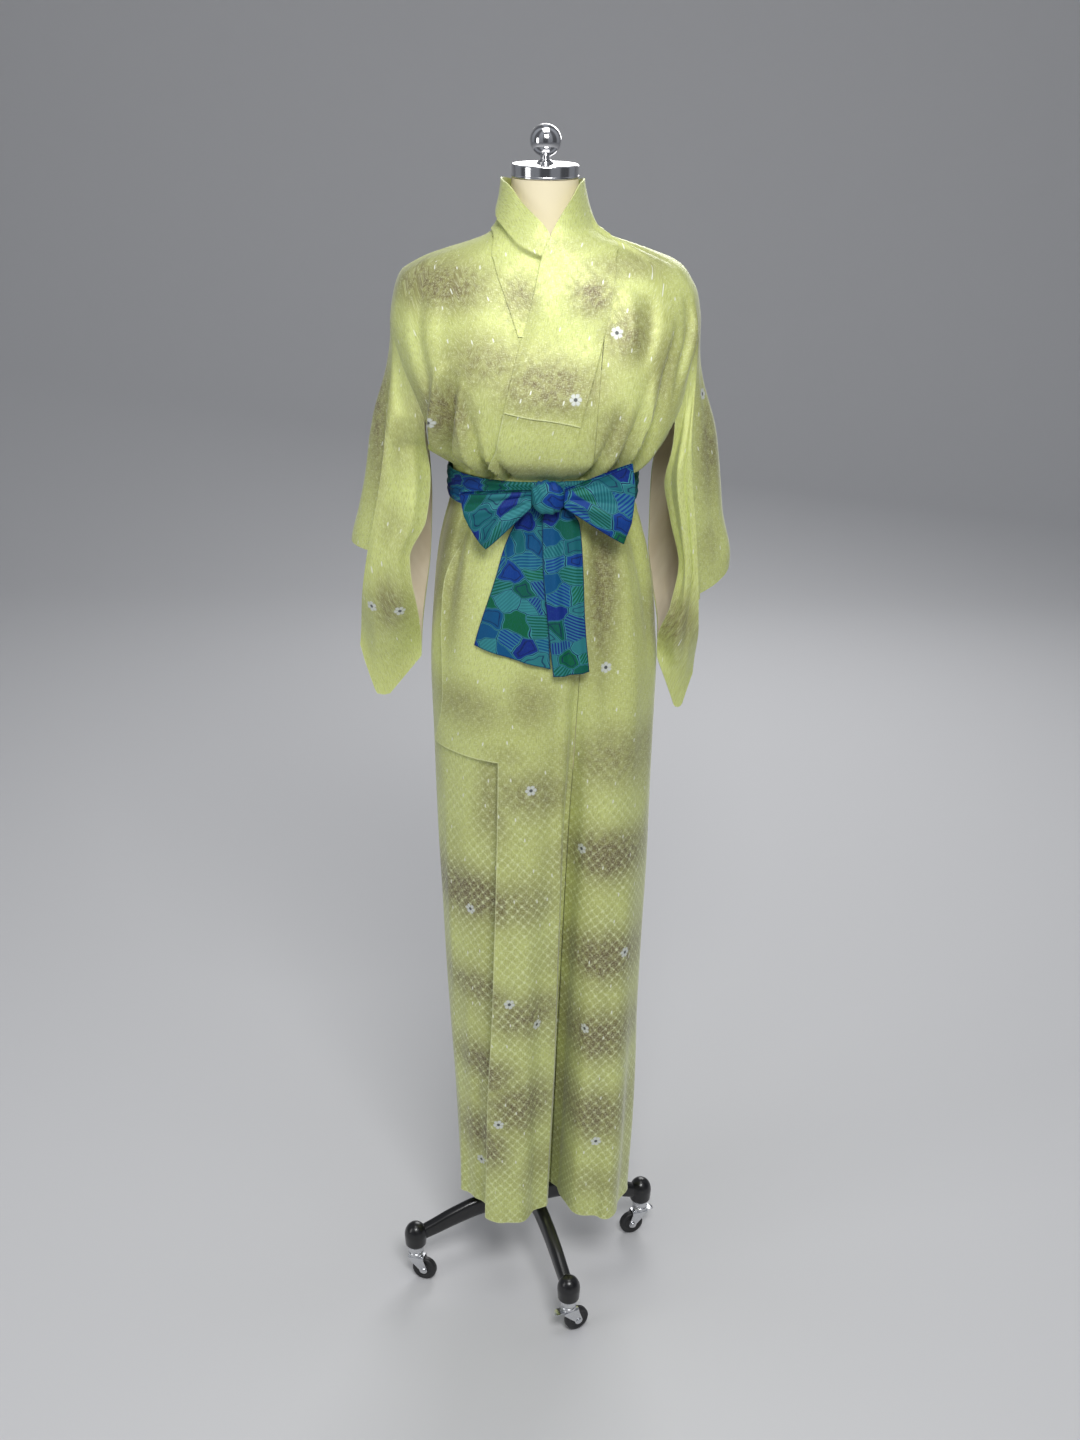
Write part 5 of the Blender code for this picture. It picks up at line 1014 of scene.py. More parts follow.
def collarGrid(side, low, slant=0.0):
    # Angles, heights and distance out of half the collar: up the front on its panel, then round the neck
    # to the centre of the back, smooth through the same stations. The left half lies over the right one.
    front = leftCollar if side > 0 else rightCollar
    neck = neckCollar if side > 0 else neckRightCollar
    cells, every = collarCells[sideName(side)]
    lowSeam, lowFree = (np.linspace(low + drop, cloth["neckTurn"], 24) for drop in (-slant, slant))
    seam = np.concatenate((angleAt(read(front, "seam", lowSeam), lowSeam), neck["seamAngle"]))
    free = np.concatenate((angleAt(read(front, "free", lowFree), lowFree), neck["freeAngle"]))
    seamZ, freeZ = np.concatenate((lowSeam, neck["seamZ"])), np.concatenate((lowFree, neck["freeZ"]))
    reach = np.radians(np.abs(np.diff(seam + free))) * 0.06 + np.abs(np.diff(seamZ + freeZ)) / 2
    length = np.concatenate(([0.0], np.cumsum(reach)))
    at = np.linspace(0.0, length[-1], int(length[-1] / every))
    seam, free, seamZ, freeZ = (smoothRead(length, values, at) for values in (seam, free, seamZ, freeZ))
    onFront = 1 - ramp(seamZ, cloth["neckTurn"] - 0.02, cloth["neckTurn"] + 0.01)
    lap = np.degrees(cloth["collarLap"] / 0.12) * onFront - cloth["seamTurn"] * (1 - onFront)
    angle = spread(seam + side * lap, free, cells)
    seamZ = seamZ + np.where(seamZ > cloth["neckSeamFrom"], cloth["neckSeamRise"], 0.0)
    height = spread(seamZ, freeZ, cells)
    more, lowZ, highZ = cloth["neckLift"]
    out = cloth["collarLift"] + more * ramp(height, lowZ, highZ)
    lift, start = cloth["edgeLift"][:2]
    if side > 0:
        share = np.linspace(0.0, 1.0, angle.shape[1])
        out = out + lift * ramp(share, start, 1.0) * (1 - ramp(height, 1.62, 1.68)) * ramp(height, 1.39, 1.48)
    if side < 0:
        above = height - np.interp(-angle, turnedOut["angle"], turnedOut["z"])
        out = out + np.interp(-angle, turnedOut["angle"], turnedOut["out"]) * ramp(above, -0.0010, 0.0016)
        groove = ramp(above, -0.014, -0.002) * (1 - ramp(above, -0.002, 0.0004))
        out = out - np.interp(-angle, turnedOut["angle"], turnedOut["sunk"]) * groove
    if side > 0:
        crossing = 1 - ramp(np.abs(angle), *cloth["crossAngles"]) * ramp(height, *cloth["crossEnd"])
        out = out + crossing * (cloth["layer"] + cloth["crossRise"] * ramp(height, *cloth["crossStart"]))
    return angle, height, out


def collarHalf(side):
    # Half of the collar and the shorter over-collar on it.
    name, folds = sideName(side), sideFolds(side)
    ends = "Left" if side > 0 else "Right"
    robeShell("collar" + ends, *collarGrid(side, cloth["collarEnd"]), folds, ("low", "end"))
    angle, height, out = collarGrid(side, cloth["overEnd"][name], cloth["overSlant"] if side > 0 else 0.0)
    robeShell("overCollar" + ends, angle, height, out + cloth["wall"] + cloth["overGap"], folds, ("low",))


def sleeveGrid(side):
    # Sleeve as one sheet folded at the top: down the front layer from the underarm seam to the crease,
    # round the top fold, and back along the rear layer. Rows run from the seam to the lower edge.
    name, folds = sideName(side), sideFolds(side)
    rows, corners = sleeveShape[name], sleeveCorners[name]
    layer = np.linspace(0.0, 1.0, sleeve["layerCells"] + 1)
    strip = 0.5 - 0.5 * np.cos(np.linspace(0.0, np.pi, sleeve["stripCells"] + 1)[1:-1])
    columns = len(layer) * 2 + len(strip)
    front, back = slice(0, len(layer)), slice(columns - len(layer), columns)
    seamZ = np.full(columns, armholeTop - cloth["seam"])
    seamZ[front] = underarm + (armholeTop - cloth["seam"] - underarm) * layer
    seamZ[back] = seamZ[front][::-1]
    frontEdge = np.interp(seamZ, armhole["z"], armhole[name + "Front"]) + cloth["sleeveTurn"]
    backEdge = np.interp(seamZ, armhole["z"], armhole["back"]) - cloth["sleeveTurn"]
    share = np.zeros(columns)
    share[len(layer):columns - len(layer)] = strip
    share[back] = 1.0
    angle = side * (frontEdge + (backEdge - frontEdge) * share)
    out = leftLayer(angle) if side > 0 else np.zeros(columns)
    top = robe(angle, seamZ, out, folds)

    along = np.concatenate((layer, np.ones(len(strip)), layer[::-1]))
    tip, round = corners["tip"], sleeve["tipRound"]
    lowZ = np.interp(along, (0.0, *corners["tipPlace"], 1.0), (corners["inner"], tip, tip - round, tip, corners["cuff"]))
    cuffZ = cuffHeight[name] + sleeve["cuffSlant"] * (1 - along) + cuffRise[name] * (1 - np.abs(1 - 2 * share))
    cuffRow, lastRow = 7.0, 13.0
    row = np.concatenate((np.linspace(0, cuffRow, sleeve["upperCells"] + 1),
                          np.linspace(cuffRow, lastRow, sleeve["lowerCells"] + 1)[1:]))[:, None]
    upper = seamZ + (cuffZ - seamZ) * row / cuffRow
    lower = cuffZ + (lowZ - cuffZ) * (row - cuffRow) / (lastRow - cuffRow)
    z = np.where(row <= cuffRow, upper, lower)

    at = {key: read(rows, key, z) for key in sleeveColumns.split()[1:]}
    crease, fold, backCrease = len(layer) - 1, columns // 2, columns - len(layer)
    ends = {"inner": side * top[0, 0], "innerY": top[0, 1], "crease": side * top[crease, 0],
            "creaseY": top[crease, 1], "fold": side * top[fold, 0],
            "backCrease": side * top[backCrease, 0], "backCreaseY": top[backCrease, 1],
            "backInner": side * top[-1, 0], "backInnerY": top[-1, 1]}
    last = rows["z"][-1]
    for key, end in ends.items():
        reach = underarm if "nner" in key else armholeTop
        at[key] = at[key] + (end - at[key]) * np.clip((z - last) / (reach - last), 0.0, 1.0)
    swell = sleeve["swell"] * np.sin(np.pi * along) * ramp(seamZ - z, 0.0, sleeve["swellReach"])
    frontX = at["inner"] + (at["crease"] - at["inner"]) * along
    frontY = at["innerY"] + (at["creaseY"] - at["innerY"]) * along - swell
    backX = at["backInner"] + (at["backCrease"] - at["backInner"]) * along
    backY = at["backInnerY"] + (at["backCreaseY"] - at["backInnerY"]) * along + swell
    bow = at["fold"] - (at["crease"] + at["backCrease"]) / 2
    under = ramp(seamZ - z, 0.02, 0.10) * ramp(share, 0.0, sleeve["underReach"]) * (1 - ramp(share, 0.1, 0.6))
    stripX = at["crease"] + (at["backCrease"] - at["crease"]) * share + bow * 4 * share * (1 - share)
    stripX = stripX - sleeve["under"][0] * under * (1 - ramp(share, 0.0, 0.2))
    stripY = at["creaseY"] + (at["backCreaseY"] - at["creaseY"]) * share + sleeve["under"][1] * under
    number = np.arange(columns)
    isFront, isBack = number < len(layer), number >= columns - len(layer)
    x = side * np.where(isFront, frontX, np.where(isBack, backX, stripX))
    y = np.where(isFront, frontY, np.where(isBack, backY, stripY))

    # The two layers are sewn together along the lower edge.
    close = ramp(row, cuffRow + sleeve["closeFrom"], lastRow)
    middle = (y + y[:, ::-1]) / 2
    y = y + (middle + np.where(isFront, -1.0, 1.0) * sleeve["edgeApart"] - y) * close
    x = x + ((x + x[:, ::-1]) / 2 - x) * close
    settling = ramp(row, 0.0, sleeve["settleRows"])
    grid = np.stack((top[:, 0] + (x - top[:, 0]) * settling, top[:, 1] + (y - top[:, 1]) * settling, z), axis=-1)
    normal = gridNormals(grid) * -side
    lean = number / (columns - 1)
    grid = grid + normal * (sleeveCrease(name, lean, row) * (1 - close))[..., None]
    return grid, gridNormals(grid) * -side, row


def sleeveCrease(name, lean, row):
    # Soft creases of a sleeve over its two parameters: depth times a bell across, rising and falling along.
    rise = np.zeros(np.broadcast(lean, row).shape)
    for lowRow, highRow, lowLean, highLean, width, depth in sleeveCreases[name]:
        t = np.clip((row - lowRow) / (highRow - lowRow), 0.0, 1.0)
        away = (lean - lowLean - (highLean - lowLean) * t) / width
        rise = rise + depth * np.sin(np.pi * t) ** 0.7 * np.exp(-away * away)
    return rise


def sleevePiece(side):
    # Sleeve open at the cuff, and its lining a little inside the same points.
    grid, normal, row = sleeveGrid(side)
    ends = "Left" if side > 0 else "Right"
    columns = grid.shape[1]
    keep = np.ones((len(row) - 1, columns - 1), bool)
    cuffCells = slice(sleeve["upperCells"], None)
    keep[cuffCells, sleeve["layerCells"]:columns - 1 - sleeve["layerCells"]] = False
    outer = grid + normal * cloth["wall"]
    place = clothPlace(outer)
    name = "sleeve" + ends
    obj = shell(name, grid, outer, silk, place, hemDistance(outer, ("low", "high", "start", "end")), keep,
                brown=brownShade(outer), flowers=flowersOn(name, outer))
    settle(obj, areaOf(outer, keep))
    low, high = sleeve["liningRows"]
    lined = slice(low, len(row) - high)
    inner = grid[lined] - normal[lined] * cloth["liningDrop"]
    face = grid[lined] - normal[lined] * (cloth["liningDrop"] - cloth["liningWall"])
    lining = shell("lining" + ends, inner, face, liningCloth, clothPlace(face), keep=keep[low:len(row) - 1 - high])
    settle(lining, areaOf(face, keep[low:len(row) - 1 - high]))


def sashBand():
    # Narrow band round the waist, with pleats that run along it.
    turns = sash["bandCells"]
    angle = np.repeat(np.arange(turns)[None] * 360.0 / turns, sash["bandRows"], axis=0)
    share = np.linspace(0.0, 1.0, sash["bandRows"])[:, None] + np.zeros_like(angle)
    low, high = sash["bandLow"], sash["bandHigh"]
    belly = sash["bandBelly"] * np.sin(np.pi * share) + pleatRise(share, angle / 360.0, sash["bandPleats"])
    level = np.full_like(angle, (low + high) / 2)
    sag = sash["bandSag"] * np.sin(np.radians(angle) * 2 + 0.6) + sash["bandSag"] * np.sin(np.radians(angle) * 5)
    height = low + (high - low) * share + sag * (share - 0.5)
    inner = robe(angle, level, sash["bandOut"] + belly, noFolds, False)
    outer = robe(angle, level, sash["bandOut"] + belly + sash["wall"], noFolds, False)
    inner[..., 2], outer[..., 2] = height, height
    closed = np.concatenate((outer, outer[:, :1]), axis=1)
    obj = shell("sashBand", inner, outer, sashCloth, clothPlace(closed), None, wrap=True)
    settle(obj, areaOf(closed))


def pleatRise(across, along, pleats):
    # Pleats: for each row a ridge at a place across that drifts along, depth times exp(-(off/width)^2), with
    # a sharper drop on one side.
    rise = np.zeros(np.broadcast(across, along).shape)
    for place, drift, turns, phase, width, depth in pleats:
        off = across - place - drift * np.sin(2 * np.pi * (turns * along + phase))
        wide = width * np.where(off > 0, 0.45, 1.0)
        rise = rise + depth * np.exp(-(off / wide) ** 2)
    return rise


def sashKnot():
    # Rounded knot: |cos|^p ovals round the cross axis, wrapped by a slanting tuck that stands over the rest.
    u = np.linspace(0.0, 2 * np.pi, knot["cells"] + 1)[:-1][None]
    v = np.linspace(0.0, np.pi, knot["rows"] + 1)[:, None]
    direction = np.stack((np.sin(v) * np.cos(u), np.sin(v) * np.sin(u), np.cos(v) + 0 * u), axis=-1)
    boxy = np.sign(direction) * np.abs(direction) ** 0.84
    slant = direction[..., 0] * 0.93 + direction[..., 2] * 0.37
    rise = np.zeros(slant.shape)
    for place, width, depth in knot["tucks"]:
        off = slant - place
        rise = rise + depth * np.exp(-(off / (width * np.where(off > 0, 0.4, 1.0))) ** 2)
    fan = knot["fan"] * np.sin(9 * direction[..., 0] + 5 * direction[..., 2]) * np.abs(direction[..., 1])
    points = np.array(knot["centre"]) + boxy * np.array(knot["half"]) * (1 + rise + fan)[..., None]
    points[0], points[-1] = points[0].mean(axis=0), points[-1].mean(axis=0)
    flat = np.stack(((u + 0 * v) * knot["half"][0], v * knot["half"][2] + 0 * u), axis=-1)
    flat = np.concatenate((flat, flat[:, :1] + (2 * np.pi * knot["half"][0], 0.0)), axis=1)
    obj = roundSolid("sashKnot", points, sashCloth, flat)
    settle(obj)
    return obj


def roundSolid(name, rings, material, place=None, sharp=50):
    # Closed body of rings; a first or last ring whose points meet is one point, any other is capped.
    rows, columns = rings.shape[:2]
    index = np.arange(rows * columns).reshape(rows, columns)
    pole = [np.ptp(rings[r], axis=0).max() < 1e-9 for r in (0, -1)]
    for r, single in zip((0, -1), pole):
        if single:
            index[r] = index[r, 0]
    ahead = np.roll(index, -1, axis=1)
    place = np.zeros((rows, columns + 1, 2)) if place is None else place
    here, there = place[:, :-1], place[:, 1:]
    a, b = int(pole[0]), rows - 1 - int(pole[1])
    faces = [np.stack((index[a:b], ahead[a:b], ahead[a + 1:b + 1], index[a + 1:b + 1]), -1).reshape(-1, 4)]
    uvs = [np.stack((here[a:b], there[a:b], there[a + 1:b + 1], here[a + 1:b + 1]), -2).reshape(-1, 4, 2)]
    for r, near, single in ((0, 1, pole[0]), (-1, -2, pole[1])):
        order = 1 if r else -1
        if single:
            faces.append(np.stack((index[near], ahead[near], index[r]), -1)[:, ::order])
            uvs.append(np.stack((here[near], there[near], here[r]), -2)[:, ::order])
        else:
            faces.append(index[r][None, ::order])
            uvs.append(here[r][None, ::order])
    points = rings.reshape(-1, 3)
    quads = points[faces[0]]
    normal = np.cross(quads[:, 2] - quads[:, 0], quads[:, 3] - quads[:, 1])
    if (normal * (quads.mean(axis=1) - points.mean(axis=0))).sum() < 0:
        faces, uvs = [face[:, ::-1] for face in faces], [uv[:, ::-1] for uv in uvs]
    corners = np.concatenate([face.ravel() for face in faces])
    sizes = np.concatenate([np.full(len(face), face.shape[1]) for face in faces])
    used, renumbered = np.unique(corners, return_inverse=True)
    obj = makeMesh(name, points[used], renumbered, sizes, material, sharp)
    layer = obj.data.uv_layers.new(name="cloth")
    layer.data.foreach_set("uv", np.concatenate([uv.reshape(-1, 2) for uv in uvs]).astype(np.float32).ravel())
    return obj


def bowLoop(name, corners):
    # Bow loop: a strip that leaves the knot, turns at its tip and comes back behind itself, with pleats
    # that fan out from the knot.
    s = np.linspace(0.0, math.pi, loop["cells"] + 1)[None]
    v = np.linspace(0.0, 1.0, loop["rows"] + 1)[:, None]
    reach = np.sin(s) ** loop["round"]
    knotLow, knotHigh, tipLow, tipHigh = (
        np.array(corners[key]) for key in ("knotLow", "knotHigh", "tipLow", "tipHigh"))
    knotEdge = knotLow + (knotHigh - knotLow) * v[..., None]
    tipEdge = tipLow + (tipHigh - tipLow) * v[..., None]
    place = knotEdge + (tipEdge - knotEdge) * reach[..., None]
    side = np.sign(tipHigh[0])
    x = place[..., 0] + side * loop["bulge"] * np.sin(np.pi * v) * reach
    deep = loop["deep"] * (loop["neck"] + (1 - loop["neck"]) * reach)
    y = loop["y"] - deep * np.cos(s) - loop["wave"] * np.sin(2 * np.pi * v) * reach
    grid = np.stack((x, y + 0 * v, place[..., 1] + 0 * s), axis=-1)
    normal = gridNormals(grid) * side
    front = np.cos(s) > 0
    pleats = loop["pleats"][name]
    rise = sum(depth * np.exp(-((v - start - (end - start) * reach) / width) ** 2)
               for start, end, width, depth in pleats)
    fade = (1 - reach) ** 0.5 * 0.75 + 0.25
    grid = grid + normal * (rise * fade * np.where(front, 1.0, 0.6) * ramp(reach, 0.0, 0.25))[..., None]
    normal = gridNormals(grid) * side
    outer = grid + normal * sash["wall"]
    obj = shell("bowLoop" + name.capitalize(), grid, outer, sashCloth,
                clothPlace(outer) + np.array(loop["print"][name]), hemDistance(outer, ("low", "high")))
    settle(obj, areaOf(outer))


def sashTail(name, edges, out, slant, wave, pleats, printAt):
    # Hanging end, on the robe's front, with soft lengthwise folds.
    z = np.linspace(edges["z"][0], edges["z"][-1], tails["rows"])
    x = spread(read(edges, "left", z), read(edges, "right", z), tails["cells"])
    t = np.linspace(0.0, 1.0, tails["cells"] + 1)[None]
    drop = ramp(z[-1] - z, 0.0, tails["waveReach"])[:, None]
    height = z[:, None] + slant * t * (1 - ramp(z[:, None], z[0], z[0] + tails["slantReach"]))
    lift = out + wave * drop * (0.5 - 0.5 * np.cos(4 * np.pi * t))
    down = (z[-1] - z[:, None]) / (z[-1] - z[0])
    for start, end, width, depth, share in pleats:
        lift = lift + depth * np.exp(-((t - start - (end - start) * down) / width) ** 2) * (1 - down * share)
    angle = angleAt(x, z[:, None] + 0 * x)
    inner = robe(angle, height, lift, noFolds, False)
    outer = robe(angle, height, lift + sash["wall"], noFolds, False)
    obj = shell("sashTail" + name.capitalize(), inner, outer, sashCloth,
                clothPlace(outer) + np.array(printAt), hemDistance(outer, ("low", "start", "end")))
    settle(obj, areaOf(outer))


def fillet(profile, size=0.001, steps=4):
    # Profile with each inner corner rounded: the corner point of a curve a(1-t)^2 + 2pt(1-t) + bt^2.
    profile = [np.array(point, float) for point in profile]
    found = [profile[0]]
    for before, point, after in zip(profile, profile[1:], profile[2:]):
        near, far = before - point, after - point
        a = point + near * min(size / np.linalg.norm(near), 0.45)
        b = point + far * min(size / np.linalg.norm(far), 0.45)
        for t in np.linspace(0.0, 1.0, steps + 1):
            found.append(a * (1 - t) ** 2 + 2 * point * t * (1 - t) + b * t * t)
    found.append(profile[-1])
    return np.array(found)


def placed(points, matrix):
    # The points moved by a 4 by 4 matrix.
    turn = np.array(matrix)
    return points @ turn[:3, :3].T + turn[:3, 3]


def lathe(name, profile, material, sides=64, matrix=None, sharp=40):
    # Solid of revolution from (radius, height) pairs, turned about Z and then placed.
    a = np.linspace(0.0, 2 * np.pi, sides + 1)[:-1][None]
    radius, height = profile[:, 0:1], profile[:, 1:2]
    rings = np.stack((radius * np.cos(a), radius * np.sin(a), height + 0 * a), axis=-1)
    if matrix is not None:
        rings = placed(rings, matrix)
    return roundSolid(name, rings, material, sharp=sharp)


def formTorso():
    # Smooth limbless torso: ovals by height, closed below by rings that run in to a point.
    z = np.concatenate((np.linspace(0.925, 0.96, 14), np.linspace(0.96, 1.59, 90)[1:],
                        np.linspace(1.59, 1.69, 60)[1:], np.linspace(1.69, neckTop, 12)[1:]))
    angle = np.radians(np.linspace(-180, 180, form["sides"] + 1)[:-1])[None]
    wide, front, back = (read(formShape, name, z)[:, None] for name in ("half", "front", "back"))
    square = np.minimum(read(robeShape, "square", z), 1.0)[:, None]
    deep = np.where(np.cos(angle) > 0, front, back)
    x = wide * np.sign(np.sin(angle)) * np.abs(np.sin(angle)) ** square
    y = -deep * np.sign(np.cos(angle)) * np.abs(np.cos(angle)) ** square
    rings = np.stack((x, y, z[:, None] + 0 * x), axis=-1)
    share = np.array((0.0, 0.3, 0.6, 0.85, 0.97))[:, None, None]
    floor = rings[0] * share + np.array((0.0, 0.0, 1.0)) * 0.925 * (1 - share)
    top = rings[-1] * share[::-1] + np.array((0.0, 0.0, 1.0)) * neckTop * (1 - share[::-1])
    obj = roundSolid("formTorso", np.concatenate((floor, rings, top)), jersey, sharp=60)
    settle(obj)


def neckCap():
    # Chrome cap with a low lip, a flat top and a soft upper edge.
    low, rim = neckTop + 0.0003, neckRadius + 0.0008
    profile = fillet(((0, low), (neckRadius - 0.001, low), (rim, low + 0.0008), (rim, low + 0.0030),
                      (rim - 0.0006, low + 0.0036), (rim - 0.0002, 1.7485), (rim - 0.0016, 1.750),
                      (0.0150, 1.7504), (0, 1.7504)), 0.0008)
    settle(lathe("neckCap", profile, chrome, 128))


def finial():
    # Chrome ball on a turned stem: foot, waist, collar and ball.
    start = math.asin(0.0075 / 0.0205)
    a = np.linspace(math.pi - start, 0.0, 40)
    ball = np.stack((0.0205 * np.sin(a), 1.779 + 0.0205 * np.cos(a)), axis=-1)
    ball[-1, 0] = 0.0
    stem = fillet(((0, 1.7503), (0.0110, 1.7503), (0.0110, 1.7522), (0.0078, 1.7545), (0.0060, 1.7560),
                   (0.0060, 1.7585), (0.0072, 1.7592), ball[0]), 0.0008)
    settle(lathe("finialBall", np.concatenate((stem, ball[1:])), chrome, 96, sharp=55))


def pole():
    # Chrome tube with a black collar that stands on the hub.
    profile = fillet(((0, 0.1443), (0.0125, 0.1443), (0.0125, 0.9247), (0, 0.9247)), 0.0004)
    settle(lathe("chromePole", profile, chrome, 64))
    ring = fillet(((0, 0.1443), (0.0175, 0.1443), (0.0175, 0.1560), (0.0150, 0.1590), (0.0127, 0.1590),
                   (0, 0.1590)), 0.0012)
    settle(lathe("poleCollar", ring, castIron, 64), nodes=())


def sweptLeg(number, angle):
    # Arched leg: sections |cos|^p, |sin|^p swept along the smooth path through the leg's stations.
    reach = np.linspace(legShape["reach"][0], legShape["reach"][-1], base["legRings"])
    z, width, height = (smoothRead(legShape["reach"], legShape[key], reach) for key in ("z", "width", "height"))
    slope = np.arctan(np.gradient(z, reach))[:, None]
    a = np.linspace(0.0, 2 * np.pi, base["legSides"] + 1)[:-1][None]
    u = np.sign(np.cos(a)) * np.abs(np.cos(a)) ** base["legSquare"] * width[:, None] / 2
    v = np.sign(np.sin(a)) * np.abs(np.sin(a)) ** base["legSquare"] * height[:, None] / 2
    out = reach[:, None] - v * np.sin(slope)
    rings = np.stack((out, u, z[:, None] + v * np.cos(slope)), axis=-1)
    rings = placed(rings, Matrix.Rotation(angle, 4, "Z"))
    obj = roundSolid("castLeg" + str(number), rings, castIron, sharp=60)
    settle(obj, nodes=())


def castBase():
    # Cast base: hub, four legs and the domed cups that take the casters.
    hub = fillet(((0, 0.096), (0.020, 0.096), (0.024, 0.100), (0.024, 0.132), (0.0215, 0.1400),
                  (0.0180, 0.1440), (0, 0.1440)), 0.003, 6)
    settle(lathe("castHub", hub, castIron, 64), nodes=("base",))
    for i in range(4):
        sweptLeg(i + 1, legAngle(i))
        a = np.linspace(0.0, np.pi / 2, 16)[1:]
        dome = np.stack((0.0180 * np.cos(a) ** 0.9, 0.084 + 0.022 * np.sin(a)), axis=-1)
        dome[-1, 0] = 0.0
        foot = fillet(((0, 0.064), (0.0150, 0.064), (0.0168, 0.0665), (0.0180, 0.084), dome[0]), 0.0015)
        cup = lathe("castCup" + str(i + 1), np.concatenate((foot, dome[1:])), castIron, 48,
                    Matrix.Translation((*legEnd(i), 0)), 60)
        settle(cup, nodes=())


def legAngle(i):
    return math.radians(18.5 + 90 * i)


def legEnd(i):
    return 0.196 * math.cos(legAngle(i)), 0.196 * math.sin(legAngle(i))


def casterFork(i, place):
    # Fork bent out of one plate: a U across, whose sides taper down to a round end at the axle.
    number = str(i + 1)
    half, plate, axle = fork["gap"] / 2, fork["plate"], np.array((fork["trail"], 0.020))
    a = np.linspace(0.0, np.pi / 2, 7)
    corner = 0.0030
    down = np.linspace(axle[1] - fork["end"] + 0.0002, fork["low"] - corner, 22)
    y = np.concatenate((np.full(22, -half), -half + corner * (1 - np.cos(a[1:]))))
    z = np.concatenate((down, fork["low"] - corner + corner * np.sin(a[1:])))
    y, z = np.concatenate((y, -y[::-1])), np.concatenate((z, z[::-1]))
    turn = np.clip(np.abs(z - axle[1]) / fork["end"], 0, 1)
    below = np.where(z < axle[1], fork["end"] * np.sqrt(1 - np.minimum(turn, 0.9999) ** 2), fork["end"])
    rise = np.clip((z - axle[1]) / (fork["low"] - 0.004 - axle[1]), 0, 1)
    lowX = (axle[0] - below) * (1 - rise) + fork["reach"][0] * rise
    highX = (axle[0] + below) * (1 - rise) + fork["reach"][1] * rise
    t = np.linspace(0.0, 1.0, 13)[None]
    x = lowX[:, None] + (highX - lowX)[:, None] * t
    grid = np.stack((x, y[:, None] + 0 * x, z[:, None] + 0 * x), axis=-1)
    path = np.stack((np.gradient(y), np.gradient(z)), axis=-1)
    path /= np.linalg.norm(path, axis=-1, keepdims=True)
    out = np.stack((np.zeros(len(y)), -path[:, 1], path[:, 0]), axis=-1)[:, None]
    outer = grid + out * plate
    obj = shell("fork" + number, placed(grid, place), placed(outer, place), zinc, clothPlace(grid))
    obj.data.set_sharp_from_angle(angle=math.radians(35))
    body = "fork_" + number
    settle(obj, body=body, nodes=("caster_fork_" + number,))
    head = fillet(((0, 0.0440), (0.0108, 0.0440), (0.0125, 0.0466), (0.0125, 0.0500), (0.0112, 0.0512),
                   (0.0112, 0.0524), (0.0125, 0.0538), (0.0125, 0.0600), (0.0112, 0.0637), (0, 0.0637)), 0.0010)
    settle(lathe("forkHead" + number, head, zinc, 48, place), body=body, nodes=())
    side = half + plate
    bolt = fillet(((0, -side - 0.0022), (0.0034, -side - 0.0022), (0.0046, -side - 0.0010), (0.0046, -side),
                   (0.0029, -side), (0.0029, side), (0.0046, side), (0.0046, side + 0.0026),
                   (0.0040, side + 0.0030), (0.0018, side + 0.0030), (0.0018, side + 0.0040), (0, side + 0.0040)),
                  0.0003, 2)
    axis = place @ Matrix.Translation((axle[0], 0, axle[1])) @ Matrix.Rotation(math.radians(-90), 4, "X")
    settle(lathe("axleBolt" + number, bolt, zinc, 24, axis), body=body, nodes=())
    if i in fork["braked"]:
        brakeTab(number, place, body)


def brakeTab(number, place, body):
    # Brake lever: a plate that leaves the fork level and bends down at its rounded end.
    u = np.linspace(0.0, 1.0, 20)[:, None]
    v = np.linspace(-1.0, 1.0, 13)[None]
    x = -0.0090 - 0.0150 * u
    half = 0.0070 * np.sqrt(np.clip(1 - ((u - 0.62) / 0.395) ** 2 * (u > 0.62), 0.0, 1.0)) + 0.0002
    z = 0.0428 + 0.0012 * np.sin(np.pi * u) - 0.0045 * np.clip(u - 0.45, 0, 1) ** 2 + 0.0006 * v ** 2
    grid = np.stack((x + 0 * v, half * v, z), axis=-1)
    low = grid - (0, 0, 0.0014)
    obj = shell("brakeTab" + number, placed(low, place), placed(grid, place), zinc, clothPlace(grid))
    settle(obj, body=body, nodes=())


def casterWheel(i, place):
    # Wheel turned about its axle: round tread, a step to the flat side and a raised hub with a bore.
    number = str(i + 1)
    side = ((0.0034, 0.0062), (0.0068, 0.0062), (0.0076, 0.0048), (0.0125, 0.0044), (0.0142, 0.0056),
            (0.0172, 0.0060), (0.0192, 0.0048), (0.0200, 0.0024), (0.0200, 0.0))
    profile = fillet([(r, -y) for r, y in side] + [(r, y) for r, y in side[-2::-1]], 0.0008, 3)
    a = np.linspace(0.0, 2 * np.pi, wheel["sides"] + 1)[:-1][None] - np.pi / 2
    loop = np.concatenate((profile, profile[:1]))
    rings = np.stack((loop[:, :1] * np.cos(a), loop[:, 1:] + 0 * a, loop[:, :1] * np.sin(a)), axis=-1)
    turned3 = place @ Matrix.Translation((fork["trail"], 0, 0.020))
    obj = ringSolid("wheel" + number, placed(rings[:-1], turned3), rubber)
    settle(obj, body="wheel_" + number, nodes=("caster_wheel_" + number,))


def ringSolid(name, rings, material):
    # Closed ring-shaped body: a grid that closes on itself both ways.
    rows, columns = rings.shape[:2]
    index = np.arange(rows * columns).reshape(rows, columns)
    right, down = np.roll(index, -1, 1), np.roll(index, -1, 0)
    faces = np.stack((index, right, np.roll(right, -1, 0), down), -1).reshape(-1, 4)
    points = rings.reshape(-1, 3)
    if volumeOf(points - points.mean(axis=0), faces) < 0:
        faces = faces[:, ::-1]
    return makeMesh(name, points, faces.ravel(), np.full(len(faces), 4), material, 40)


